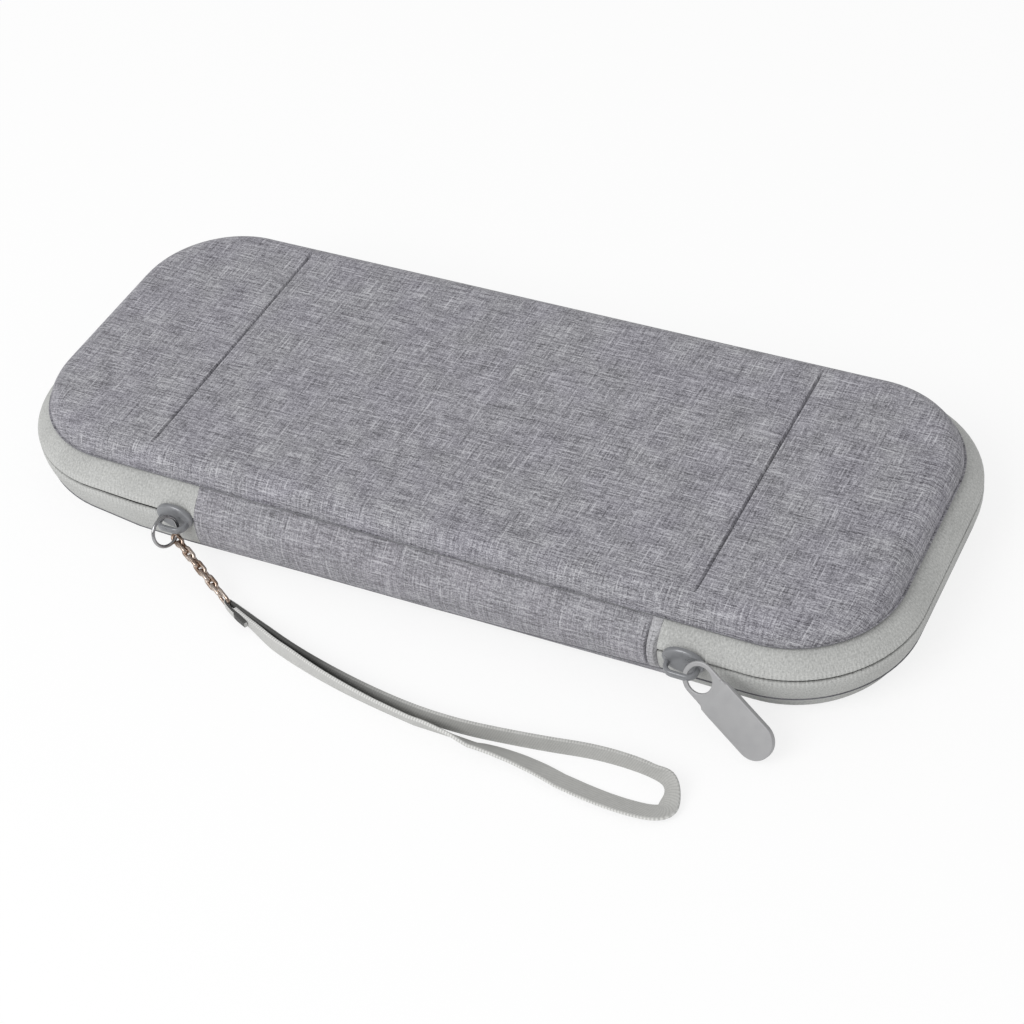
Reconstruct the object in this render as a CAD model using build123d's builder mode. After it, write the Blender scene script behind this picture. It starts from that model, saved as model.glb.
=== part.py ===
"""Zippered hard carry case for a handheld game console, closed and lying on its base.

Millimetres. The origin is on the table under the middle of the base, X runs along the case,
the fabric spine faces -Y and Z points up. Each piece is written to its own STEP file.
"""
from build123d import *
import os
from math import radians, tan

# Outline of the case at the zip line, which is its widest level
case_length = 272.0
case_width = 113.0
corner_radius = 35.4
zip_height = 15.5
case_height = 28.8

# Moulded shells, each laminated fabric, foam and lining in one piece
lid_inset = 5.0
lid_rim_rise = 6.2
lid_draft = 5.0
lid_edge_radius = 6.8
lid_edge_land = 0.3
base_inset = 1.2
base_rim_drop = 8.4
base_draft = 25.0
base_edge_radius = 5.5
rim_thickness = 3.6
roof_thickness = 3.0
floor_thickness = 2.8
lid_inner_radius = 2.4
base_inner_radius = 2.6

# Pressed grooves across the lid
groove_offset = 83.0
groove_width = 1.7
groove_depth = 0.9

# Zip tapes, coils and the fabric spine between the ends of the zip
tape_thickness = 1.0
lid_tape_bulge = 0.9
base_tape_bulge = 0.5
zip_gap = 0.8
strip_left = -63.1
strip_right = 76.5
strip_thickness = 1.3
hem_width = 3.2
hem_thickness = 0.35
seam_step = 0.2
tape_end_gap = 0.1
coil_radius = 0.9
coil_depth = 2.9
coil_gap = 0.6
stop_length = 1.6
stop_wall = 0.4

# Bindings inside the rims and the lining of the spine
binding_thickness = 0.8
binding_cover = 1.8
lid_binding_reach = 1.5
base_binding_reach = 1.5
lining_thickness = 0.8
fabric_clearance = 0.2

# Sliders
slider_length = 11.8
slider_height = 8.4
blade_thickness = 1.3
blade_clearance = 0.3
blade_edge = 0.5
inner_blade_length = 9.0
inner_blade_height = 5.0
inner_blade_thickness = 1.0
web_length = 4.0
web_thickness = 0.36
bridge_length = 9.6
bridge_bar = 1.2
bridge_width = 1.8
bridge_gap = 3.6
bridge_corner = 1.6
tab_slider_x = 84.4
strap_slider_x = -71.3

# Pull tab, placed by its eye on the bridge
eye_offset = (5.2, -4.75, -0.8)
tab_direction = Vector(0.846, -0.328, -0.420)
tab_face = Vector(-0.110, -0.880, 0.465)
eye_radius = 5.2
eye_hole_radius = 4.2
eye_thickness = 0.9
tab_reach = 26.4
tab_width = 10.8
tab_thickness = 1.7
tab_shoulder = 5.6
tab_edge = 0.2

# Strap ring on the other bridge
ring_offset = (0.05, -6.6, -1.9)
ring_face = Vector(0.867, -0.343, 0.362)
ring_radius = 4.3
ring_wire = 1.0

# Chain between the ring and the strap, with a larger link at the strap's fold
link_count = 8
link_wire = 0.8
link_inner_width = 1.1
link_corner = 0.9
end_link_wire = 1.0
end_link_inner_length = 4.0
end_link_inner_width = 3.4
end_link_corner = 1.2
link_clearance = 0.15

# Wrist strap, a ribbon standing on its edge on the table
strap_width = 5.5
strap_thickness = 1.0
strap_lift = 0.05
strap_bend_share = 0.45
fold_width = 2.0
gather_start = -39.7
gather_end = -44.3
strap_route = [
    (-37.5, -77.95), (-47.6, -73.65), (-46.66, -71.45), (-24.7, -80.55), (3.7, -86.9),
    (29.3, -89.4), (54.7, -86.4), (74.0, -82.8), (93.2, -84.1), (97.5, -95.7),
    (79.8, -97.6), (52.8, -93.5), (25.4, -91.0), (-2.3, -87.6), (-24.7, -82.2),
    (-34.2, -78.05), (-43.1, -74.25),
]

# Mesh pocket under the lid's roof
pocket_length = 200.0
pocket_width = 58.0
pocket_thickness = 1.0
pocket_setback = 14.0
pocket_hem_width = 7.0
pocket_hem_thickness = 1.8

front = -case_width / 2
lid_rim_z = zip_height + lid_rim_rise
base_rim_z = zip_height - base_rim_drop
lid_cavity_inset = lid_inset + rim_thickness
base_cavity_inset = base_inset + rim_thickness
roof_z = case_height - roof_thickness


def rounded_outline(inset):
    """Draw the case outline, set in by the given amount, in the current sketch."""
    return RectangleRounded(case_length - 2 * inset, case_width - 2 * inset, corner_radius - inset)


def save(piece, name):
    """Label a finished piece and write it to its own STEP file."""
    piece.part.label = name
    export_step(piece.part, f"parts/{name}.step")


def make_top_shell():
    """The moulded lid, with its draft, soft top edge, hollow inside and two pressed grooves."""
    with BuildPart() as shell:
        with BuildSketch(Plane.XY.offset(lid_rim_z)):
            rounded_outline(lid_inset)
        extrude(amount=case_height - lid_rim_z, taper=lid_draft)
        soft_edge = min(lid_edge_radius, case_height - lid_rim_z - lid_edge_land)
        fillet(shell.faces().sort_by(Axis.Z)[-1].edges(), soft_edge)
        with BuildPart(mode=Mode.SUBTRACT) as hollow:
            with BuildSketch(Plane.XY.offset(lid_rim_z)):
                rounded_outline(lid_cavity_inset)
            extrude(amount=roof_z - lid_rim_z)
            soft_edge = min(lid_inner_radius, roof_z - lid_rim_z - lid_edge_land)
            fillet(hollow.faces().sort_by(Axis.Z)[-1].edges(), soft_edge)
        with BuildSketch(Plane.XZ) as grooves:
            for side in (-1, 1):
                with BuildLine():
                    Polyline(
                        (side * groove_offset - groove_width / 2, case_height),
                        (side * groove_offset, case_height - groove_depth),
                        (side * groove_offset + groove_width / 2, case_height),
                        close=True,
                    )
                make_face()
        extrude(amount=case_width / 2, both=True, mode=Mode.SUBTRACT)
    save(shell, "top_shell")


def make_bottom_shell():
    """The moulded base tray, drawn in towards the table, with a hollow for the console."""
    with BuildPart() as shell:
        with BuildSketch(Plane.XY.offset(base_rim_z)):
            rounded_outline(base_inset)
        extrude(amount=base_rim_z, dir=(0, 0, -1), taper=base_draft)
        fillet(shell.faces().sort_by(Axis.Z)[0].edges(), base_edge_radius)
        with BuildPart(mode=Mode.SUBTRACT) as hollow:
            with BuildSketch(Plane.XY.offset(base_rim_z)):
                rounded_outline(base_cavity_inset)
            extrude(amount=base_rim_z - floor_thickness, dir=(0, 0, -1))
            fillet(hollow.faces().sort_by(Axis.Z)[0].edges(), base_inner_radius)
    save(shell, "bottom_shell")


def zip_path():
    """The zip line: from the right end of the spine round the case to its left end."""
    half_length = case_length / 2
    half_width = case_width / 2
    straight_x = half_length - corner_radius
    straight_y = half_width - corner_radius
    with BuildLine(Plane.XY.offset(zip_height)) as path:
        Line((strip_right + tape_end_gap, -half_width), (straight_x, -half_width))
        RadiusArc((straight_x, -half_width), (half_length, -straight_y), -corner_radius)
        Line((half_length, -straight_y), (half_length, straight_y))
        RadiusArc((half_length, straight_y), (straight_x, half_width), -corner_radius)
        Line((straight_x, half_width), (-straight_x, half_width))
        RadiusArc((-straight_x, half_width), (-half_length, straight_y), -corner_radius)
        Line((-half_length, straight_y), (-half_length, -straight_y))
        RadiusArc((-half_length, -straight_y), (-straight_x, -half_width), -corner_radius)
        Line((-straight_x, -half_width), (strip_left - tape_end_gap, -half_width))
    return path.wire()


def section_plane(x):
    """A section across the front of the case: its x is depth from the front, its y height over the zip."""
    return Plane(origin=(x, front, zip_height), x_dir=(0, 1, 0), z_dir=(1, 0, 0))


def bowed(first, last, bulge, thickness):
    """Middle points of a band's outer and inner faces, bowed out of the line between two points."""
    run = Vector(*last) - Vector(*first)
    inward = Vector(abs(run.Y), -run.X if run.Y > 0 else run.X).normalized()
    outer = (Vector(*first) + Vector(*last)) * 0.5 - Vector(bulge, 0)
    inner = outer + inward * thickness
    return (outer.X, outer.Y), (inner.X, inner.Y)


def tape_section(up, rise, inset, cavity, bulge):
    """Close one tape's section: a bowed band from the zip edge to the rim, and a flange under the rim.

    up is 1 for the lid's tape and -1 for the base's, rise the height of the rim from the zip line.
    """
    edge = zip_gap / 2
    foot = inset + seam_step
    under = rise - tape_thickness
    outer, inner = bowed((0, up * edge), (foot, up * rise), bulge, tape_thickness)
    ThreePointArc((0, up * edge), outer, (foot, up * rise))
    Polyline(
        (foot, up * rise), (cavity, up * rise), (cavity, up * under), (foot + tape_thickness, up * under)
    )
    ThreePointArc((foot + tape_thickness, up * under), inner, (tape_thickness, up * edge))
    Line((tape_thickness, up * edge), (0, up * edge))


def make_zip():
    """Both zip tapes, their coils, bindings and end stops, run round the case along the zip line."""
    path = zip_path()
    start = section_plane(strip_right + tape_end_gap)
    coil_height = coil_gap / 2 + coil_radius
    sides = (
        ("upper", 1, lid_rim_rise, lid_inset, lid_cavity_inset, lid_tape_bulge, lid_binding_reach),
        ("lower", -1, base_rim_drop, base_inset, base_cavity_inset, base_tape_bulge, base_binding_reach),
    )
    for name, up, rise, inset, cavity, bulge, reach in sides:
        with BuildPart() as tape:
            with BuildSketch(start):
                with BuildLine():
                    tape_section(up, rise, inset, cavity, bulge)
                make_face()
            sweep(path=path)
        save(tape, f"{name}_zip_tape")
        with BuildPart() as coil:
            with BuildSketch(start):
                with Locations((coil_depth, up * coil_height)):
                    RegularPolygon(coil_radius, 8)
            sweep(path=path)
        save(coil, f"{name}_zip_coil")
        flange = rise - tape_thickness
        inner = cavity + binding_thickness
        with BuildPart() as binding:
            with BuildSketch(start):
                with BuildLine():
                    Polyline(
                        (cavity - binding_cover, up * flange),
                        (cavity, up * flange),
                        (cavity, up * (rise + reach)),
                        (inner, up * (rise + reach)),
                        (inner, up * (flange - binding_thickness)),
                        (cavity - binding_cover, up * (flange - binding_thickness)),
                        close=True,
                    )
                make_face()
            sweep(path=path)
        save(binding, f"{name}_binding")
    stop_depth = coil_radius + stop_wall
    stop_height = 2 * (coil_height + coil_radius + stop_wall)
    for name, x in (("right", strip_right + tape_end_gap), ("left", strip_left - tape_end_gap - stop_length)):
        with BuildPart() as stop:
            with BuildSketch(section_plane(x)):
                with Locations((coil_depth + stop_depth / 2, 0)):
                    Rectangle(stop_depth, stop_height)
                for up in (-1, 1):
                    with Locations((coil_depth, up * coil_height)):
                        RegularPolygon(coil_radius, 8, mode=Mode.SUBTRACT)
            extrude(amount=stop_length)
        save(stop, f"{name}_zip_stop")


def strip_section(proud):
    """Close the spine's section: bowed from rim to rim, its outer face standing out by proud."""
    lid_foot = lid_inset + seam_step
    base_foot = base_inset + seam_step
    lid_under = lid_rim_rise - tape_thickness
    base_under = tape_thickness - base_rim_drop
    lid_outer, lid_inner = bowed((0, 0), (lid_foot, lid_rim_rise), lid_tape_bulge, strip_thickness)
    base_outer, base_inner = bowed((0, 0), (base_foot, -base_rim_drop), base_tape_bulge, strip_thickness)
    ThreePointArc(
        (-proud, 0), (lid_outer[0] - proud, lid_outer[1]), (lid_foot - proud, lid_rim_rise)
    )
    Polyline(
        (lid_foot - proud, lid_rim_rise), (lid_cavity_inset, lid_rim_rise), (lid_cavity_inset, lid_under),
        (lid_foot + strip_thickness, lid_under),
    )
    ThreePointArc((lid_foot + strip_thickness, lid_under), lid_inner, (strip_thickness, 0))
    ThreePointArc((strip_thickness, 0), base_inner, (base_foot + strip_thickness, base_under))
    Polyline(
        (base_foot + strip_thickness, base_under), (base_cavity_inset, base_under),
        (base_cavity_inset, -base_rim_drop), (base_foot - proud, -base_rim_drop),
    )
    ThreePointArc(
        (base_foot - proud, -base_rim_drop), (base_outer[0] - proud, base_outer[1]), (-proud, 0)
    )


def make_spine():
    """The fabric strip between the zip ends, folded to a hem at its right end, and its lining."""
    spans = ((0.0, strip_left, strip_right), (hem_thickness, strip_right - hem_width, strip_right))
    with BuildPart() as strip:
        for proud, left, right in spans:
            with BuildSketch(section_plane(left)):
                with BuildLine():
                    strip_section(proud)
                make_face()
            extrude(amount=right - left)
    save(strip, "hinge_strip")
    top = lid_rim_rise - tape_thickness - fabric_clearance
    bottom = tape_thickness + fabric_clearance - base_rim_drop
    with BuildPart() as lining:
        with BuildSketch(section_plane(strip_left)):
            with BuildLine():
                Polyline(
                    (lid_cavity_inset, top),
                    (lid_cavity_inset + lining_thickness, top),
                    (base_cavity_inset + lining_thickness, bottom),
                    (base_cavity_inset, bottom),
                    close=True,
                )
            make_face()
        extrude(amount=strip_right - strip_left)
    save(lining, "hinge_lining")


def make_slider(name, x):
    """One zip slider: an oval outer blade, a blade behind the coils, the web between and the bridge."""
    outer_plane = Plane(origin=(x, front - blade_clearance, zip_height), x_dir=(1, 0, 0), z_dir=(0, -1, 0))
    inner_depth = coil_depth + coil_radius + blade_clearance
    bridge_foot = front - blade_clearance - blade_thickness
    with BuildPart() as slider:
        with BuildSketch(outer_plane):
            Ellipse(slider_length / 2, slider_height / 2)
        extrude(amount=blade_thickness)
        fillet(slider.faces().sort_by(Axis.Y)[0].edges(), blade_edge)
        with BuildSketch(Plane.XY.offset(zip_height)):
            with Locations((x, bridge_foot - (bridge_gap + bridge_bar) / 2)):
                Rectangle(bridge_length, bridge_gap + bridge_bar)
            with Locations((x, bridge_foot - bridge_gap / 2)):
                Rectangle(bridge_length - 2 * bridge_bar, bridge_gap, mode=Mode.SUBTRACT)
        extrude(amount=bridge_width / 2, both=True)
        outer_corners = slider.edges().filter_by(Axis.Z).group_by(Axis.Y)[0]
        fillet(outer_corners, bridge_corner)
        with BuildSketch(Plane(origin=(x, front + inner_depth, zip_height), x_dir=(1, 0, 0), z_dir=(0, 1, 0))):
            Ellipse(inner_blade_length / 2, inner_blade_height / 2)
        extrude(amount=inner_blade_thickness)
        with BuildSketch(Plane.XY.offset(zip_height)):
            with Locations((x, front + (inner_depth - blade_clearance) / 2)):
                Rectangle(web_length, inner_depth + blade_clearance)
        extrude(amount=web_thickness / 2, both=True)
    save(slider, name)


def make_pull_tab():
    """The one-piece pull: a thin eye threaded on the bridge and a thicker rounded paddle."""
    centre = Vector(tab_slider_x, front, zip_height) + Vector(*eye_offset)
    along = tab_direction.normalized()
    face = (tab_face - along * tab_face.dot(along)).normalized()
    lie = Plane(origin=centre, x_dir=along, z_dir=face)
    tip = tab_reach - tab_width / 2
    with BuildPart() as tab:
        with BuildSketch(lie):
            Circle(eye_radius)
            with Locations((tab_shoulder / 2, 0)):
                Rectangle(tab_shoulder, 2 * eye_radius)
            Circle(eye_hole_radius, mode=Mode.SUBTRACT)
        extrude(amount=eye_thickness / 2, both=True)
        with BuildSketch(lie):
            with Locations((tip, 0)):
                Circle(tab_width / 2)
            with Locations(((tab_shoulder + tip) / 2, 0)):
                Rectangle(tip - tab_shoulder, tab_width)
        extrude(amount=tab_thickness / 2, both=True)
        broad = tab.faces().filter_by(lambda f: abs(f.normal_at().dot(face)) > 0.99).sort_by(SortBy.AREA)[-2:]
        chamfer(broad.edges().filter_by(lambda e: e.length > tab_width), tab_edge)
    save(tab, "pull_tab")


def ring_centre():
    """Middle of the strap ring."""
    return Vector(strap_slider_x, front, zip_height) + Vector(*ring_offset)


def make_strap_ring():
    """The plain wire ring threaded on the strap slider's bridge."""
    with BuildPart() as ring:
        with Locations(Plane(origin=ring_centre(), z_dir=ring_face)):
            Torus(ring_radius, ring_wire / 2)
    save(ring, "strap_ring")


def strap_fold():
    """The middle of the end link's wire inside the strap's fold."""
    near = Vector(*strap_route[1])
    far = Vector(*strap_route[2])
    run = (Vector(*strap_route[0]) - near).normalized()
    fold = (near + far) * 0.5 + run * (strap_thickness / 2 + end_link_wire / 2 + link_clearance)
    return Vector(fold.X, fold.Y, strap_lift + strap_width / 2)


def make_link(name, lie, inner_length, inner_width, wire, corner):
    """One closed wire link in the given plane, long side along the plane's x."""
    half_length = (inner_length + wire) / 2
    half_width = (inner_width + wire) / 2
    with BuildPart() as link:
        with BuildLine(lie) as loop:
            FilletPolyline(
                (-half_length, -half_width), (half_length, -half_width),
                (half_length, half_width), (-half_length, half_width),
                radius=corner, close=True,
            )
        with BuildSketch(Plane(origin=loop.wire() @ 0, z_dir=loop.wire() % 0)):
            RegularPolygon(wire / 2, 8)
        sweep(path=loop.wire())
    save(link, name)


def make_chain():
    """Links in a line from the ring to the strap's fold, each turned a quarter from the last."""
    end = strap_fold()
    centre = ring_centre()
    face = ring_face.normalized()
    reach = end - centre
    down = (reach - face * reach.dot(face)).normalized()
    start = centre + down * ring_radius
    line = (end - start).normalized()
    upright = line.cross(Vector(0, 0, 1)).normalized()
    level = upright.cross(line).normalized()
    end_length = end_link_inner_length + end_link_wire / 2
    span = (end - start).length + ring_wire / 2 - end_length
    inner_length = span / link_count + link_clearance * (link_count + 1) / link_count
    pitch = inner_length - link_clearance
    first = inner_length / 2 - ring_wire / 2 - link_clearance
    for number in range(1, link_count + 1):
        middle = start + line * (first + pitch * (number - 1))
        flat = upright if number % 2 == 1 else level
        lie = Plane(origin=middle, x_dir=line, z_dir=flat)
        make_link(f"chain_link_{number}", lie, inner_length, link_inner_width, link_wire, link_corner)
    middle = end - line * (end_link_inner_length + end_link_wire) / 2
    lie = Plane(origin=middle, x_dir=line, z_dir=upright)
    make_link(
        "strap_link", lie, end_link_inner_length, end_link_inner_width, end_link_wire, end_link_corner
    )


def bend_radii(points):
    """The largest round that each corner of a route takes, from its shorter run and its turn."""
    radii = []
    for before, here, after in zip(points, points[1:], points[2:]):
        arrive = Vector(*here) - Vector(*before)
        leave = Vector(*after) - Vector(*here)
        half_turn = radians(arrive.get_angle(leave)) / 2
        radii.append(strap_bend_share * min(arrive.length, leave.length) / tan(half_turn))
    return radii


def make_wrist_strap():
    """The webbing loop: one ribbon, gathered and folded round the end link and back on itself."""
    middle = strap_lift + strap_width / 2
    with BuildLine() as route:
        FilletPolyline(*strap_route, radius=bend_radii(strap_route))
    with BuildPart() as strap:
        with BuildSketch(Plane.XY.offset(strap_lift)):
            trace(route.wire(), line_width=strap_thickness)
        extrude(amount=strap_width)
        far_left = min(x for x, y in strap_route) - strap_width
        with BuildSketch(Plane.XZ):
            for up in (-1, 1):
                with BuildLine():
                    Polyline(
                        (gather_start, middle + up * strap_width / 2),
                        (gather_end, middle + up * fold_width / 2),
                        (far_left, middle + up * fold_width / 2),
                        (far_left, middle + up * strap_width),
                        (gather_start, middle + up * strap_width),
                        close=True,
                    )
                make_face()
        extrude(amount=case_width, mode=Mode.SUBTRACT)
    print("strap length", round(route.wire().length, 1), "volume", round(strap.part.volume, 1))
    save(strap, "wrist_strap")


def make_pocket():
    """The mesh pocket sewn under the lid's roof, and the elastic hem along its mouth."""
    pocket_front = front + pocket_setback
    top = roof_z - fabric_clearance
    with BuildPart() as pocket:
        with BuildSketch(Plane.XY.offset(top)):
            with Locations((0, pocket_front + pocket_width / 2)):
                RectangleRounded(pocket_length, pocket_width, pocket_setback / 2)
        extrude(amount=-pocket_thickness)
    save(pocket, "mesh_pocket")
    with BuildPart() as hem:
        with BuildSketch(Plane.XY.offset(top)):
            with Locations((0, pocket_front + pocket_width + fabric_clearance + pocket_hem_width / 2)):
                RectangleRounded(pocket_length, pocket_hem_width, pocket_hem_width / 4)
        extrude(amount=-pocket_hem_thickness)
    save(hem, "pocket_hem")


os.makedirs("parts", exist_ok=True)
make_top_shell()
make_bottom_shell()
make_zip()
make_spine()
make_slider("tab_slider", tab_slider_x)
make_slider("strap_slider", strap_slider_x)
make_pull_tab()
make_strap_ring()
make_chain()
make_wrist_strap()
make_pocket()
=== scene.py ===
"""Looks of a zippered hard carry case for a handheld game console, closed and lying on its base.

Metres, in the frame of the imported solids: the origin is on the table under the middle of the base,
X runs along the case, the fabric spine faces -Y and Z points up.
"""

import logging
import math
from dataclasses import dataclass, field
from enum import Enum
from typing import Callable, Sequence

import bmesh
import bpy
from bmesh.types import BMEdge, BMesh, BMFace, BMVert
from mathutils import Matrix, Vector

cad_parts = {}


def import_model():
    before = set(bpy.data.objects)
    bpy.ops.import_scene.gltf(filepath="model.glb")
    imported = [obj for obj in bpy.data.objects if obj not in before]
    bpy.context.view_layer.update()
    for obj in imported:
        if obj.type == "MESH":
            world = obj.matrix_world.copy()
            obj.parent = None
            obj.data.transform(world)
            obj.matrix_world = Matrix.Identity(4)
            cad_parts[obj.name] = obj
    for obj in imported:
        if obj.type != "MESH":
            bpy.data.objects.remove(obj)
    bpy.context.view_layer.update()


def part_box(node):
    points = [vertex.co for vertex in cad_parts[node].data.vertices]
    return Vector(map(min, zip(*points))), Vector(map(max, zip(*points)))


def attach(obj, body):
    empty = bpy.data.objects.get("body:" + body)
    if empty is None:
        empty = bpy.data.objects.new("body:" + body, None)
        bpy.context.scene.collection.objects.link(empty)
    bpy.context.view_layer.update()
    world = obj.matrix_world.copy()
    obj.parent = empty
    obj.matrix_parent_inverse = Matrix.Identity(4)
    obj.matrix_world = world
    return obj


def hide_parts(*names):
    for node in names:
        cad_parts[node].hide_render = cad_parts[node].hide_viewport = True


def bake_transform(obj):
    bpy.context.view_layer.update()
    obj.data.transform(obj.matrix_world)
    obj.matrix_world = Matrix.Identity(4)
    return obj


MM = 0.001
UV_NAME = "run"
Colour = tuple[float, float, float]
Socket = bpy.types.NodeSocket
LOG = logging.getLogger("carry_case")


class Body(str, Enum):
    """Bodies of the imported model."""

    BASE = "base"
    LID = "lid"
    TAB_CARRIAGE = "tab_carriage"
    PULL = "pull"
    STRAP_CARRIAGE = "strap_carriage"
    STRAP = "strap"


class Slot(str, Enum):
    """Material slots of the record."""

    MELANGE = "melange_fabric"
    LINING = "lining_fabric"
    TAPE = "zip_tape"
    COIL = "zip_coil"
    SLIDER = "slider_metal"
    CHAIN = "chain_metal"
    WEBBING = "webbing"
    NET = "pocket_mesh"


class Half(Enum):
    """The two halves of the case; the value is the way up from the zip line."""

    LID = 1
    BASE = -1


@dataclass(frozen=True)
class Streak:
    """One family of yarn marks in a cloth.

    Attributes:
        length: Length of a mark along its yarn.
        width: Width of a mark across its yarn.
        weight: How far it moves the cloth's tone.
    """

    length: float
    width: float
    weight: float


class NodeBench:
    """A material's node tree, with short calls that add and join nodes."""

    def __init__(self, name: str) -> None:
        """Start a material with an output and a principled surface."""
        self.material = bpy.data.materials.new(name)
        self.material.use_nodes = True
        self.tree = self.material.node_tree
        self.tree.nodes.clear()
        self.output = self.tree.nodes.new("ShaderNodeOutputMaterial")
        self.surface = self.tree.nodes.new("ShaderNodeBsdfPrincipled")
        self.join(self.surface.outputs[0], self.output.inputs["Surface"])

    def node(self, kind: str, **settings: object) -> bpy.types.Node:
        """Add a node.

        Args:
            kind: Blender's name of the node type.
            settings: Attributes to set on it.

        Returns:
            The new node.
        """
        made = self.tree.nodes.new(kind)
        for key, value in settings.items():
            setattr(made, key, value)
        return made

    def join(self, source: Socket, target: Socket) -> None:
        """Link an output to an input."""
        self.tree.links.new(source, target)

    def set(self, **values: object) -> None:
        """Set sockets of the surface by name, with underscores for spaces."""
        for key, value in values.items():
            self.surface.inputs[key.replace("_", " ")].default_value = value

    def place(self, output: str, scale: Sequence[float], turn: float = 0.0) -> Socket:
        """Scaled coordinates of the piece.

        Args:
            output: Which output of Texture Coordinate to read.
            scale: Factors on the three coordinates.
            turn: Turn about Z in radians, before the scale.

        Returns:
            The vector output of the mapping.
        """
        source = self.node("ShaderNodeTexCoord").outputs[output]
        if turn:
            turned = self.node("ShaderNodeMapping")
            turned.inputs["Rotation"].default_value[2] = turn
            self.join(source, turned.inputs["Vector"])
            source = turned.outputs[0]
        mapping = self.node("ShaderNodeMapping")
        mapping.inputs["Scale"].default_value = scale
        self.join(source, mapping.inputs["Vector"])
        return mapping.outputs[0]

    def noise(self, vector: Socket, detail: float = 2.0, flat: bool = True) -> Socket:
        """Soft noise with cells of size one.

        Args:
            vector: Coordinates to read.
            detail: Octaves.
            flat: True for noise over two coordinates, False for three.

        Returns:
            The noise value.
        """
        made = self.node("ShaderNodeTexNoise", noise_dimensions="2D" if flat else "3D")
        made.inputs["Scale"].default_value = 1.0
        made.inputs["Detail"].default_value = detail
        made.inputs["Roughness"].default_value = 0.55
        self.join(vector, made.inputs["Vector"])
        return made.outputs[0]

    def bands(self, vector: Socket, along: str = "X") -> Socket:
        """A sine wave along one coordinate, one period to each unit of length.

        Args:
            vector: Coordinates.
            along: Axis across the bands.

        Returns:
            The bands' height.
        """
        made = self.node("ShaderNodeTexWave", wave_type="BANDS", bands_direction=along)
        made.inputs["Scale"].default_value = math.pi / 10
        made.inputs["Distortion"].default_value = 0.0
        self.join(vector, made.inputs["Vector"])
        return made.outputs["Fac"]

    def arith(self, operation: str, first: Socket | float, second: Socket | float = 0.0) -> Socket:
        """A Math node on sockets or plain numbers.

        Args:
            operation: Name of the operation.
            first: First term.
            second: Second term.

        Returns:
            The result.
        """
        made = self.node("ShaderNodeMath", operation=operation)
        for socket, value in zip(made.inputs, (first, second)):
            if isinstance(value, (int, float)):
                socket.default_value = value
            else:
                self.join(value, socket)
        return made.outputs[0]

    def span(self, value: Socket, low: float, high: float, start: float = 0.0, end: float = 1.0) -> Socket:
        """Map a value from one span to another, clamped.

        Args:
            value: The value.
            low: Start of its range.
            high: End of its range.
            start: Start of the new range.
            end: End of the new range.

        Returns:
            The new value.
        """
        made = self.node("ShaderNodeMapRange", clamp=True)
        for name, number in (("From Min", low), ("From Max", high), ("To Min", start), ("To Max", end)):
            made.inputs[name].default_value = number
        self.join(value, made.inputs["Value"])
        return made.outputs[0]

    def weigh(self, parts: Sequence[tuple[Socket, float]], start: float) -> Socket:
        """Add weighted values to a start value.

        Args:
            parts: Heights and their weights.
            start: Value to start from.

        Returns:
            The sum.
        """
        total: Socket | float = start
        for value, weight in parts:
            total = self.arith("ADD", self.arith("MULTIPLY", value, weight), total)
        return total

    def ramp(self, value: Socket, stops: Sequence[tuple[float, Colour]]) -> Socket:
        """Colour a value by stops of (place, colour).

        Args:
            value: Place on the ramp.
            stops: Places and colours.

        Returns:
            The colour.
        """
        made = self.node("ShaderNodeValToRGB")
        elements = made.color_ramp.elements
        while len(elements) < len(stops):
            elements.new(0.5)
        for element, (spot, colour) in zip(elements, stops):
            element.position = spot
            element.color = (*colour, 1.0)
        self.join(value, made.inputs[0])
        return made.outputs[0]

    def mix(
        self, factor: Socket, first: Socket | Colour, second: Socket | Colour, blend: str = "MIX"
    ) -> Socket:
        """Mix two colours by a factor.

        Args:
            factor: Share of the second colour.
            first: First colour.
            second: Second colour.
            blend: How they are blended.

        Returns:
            The colour.
        """
        made = self.node("ShaderNodeMix", data_type="RGBA", blend_type=blend)
        self.join(factor, made.inputs[0])
        for socket, value in ((made.inputs[6], first), (made.inputs[7], second)):
            if isinstance(value, tuple):
                socket.default_value = (*value, 1.0)
            else:
                self.join(value, socket)
        return made.outputs[2]

    def bump(self, height: Socket, depth: float, strength: float = 1.0) -> None:
        """Raise the surface by a height of 0 to 1 times a depth."""
        made = self.node("ShaderNodeBump")
        made.inputs["Strength"].default_value = strength
        made.inputs["Distance"].default_value = depth
        self.join(height, made.inputs["Height"])
        self.join(made.outputs[0], self.surface.inputs["Normal"])


def even(size: float) -> tuple[float, float, float]:
    """Mapping factors that make one cell of each coordinate the given size."""
    return (1 / size, 1 / size, 1 / size)


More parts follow.
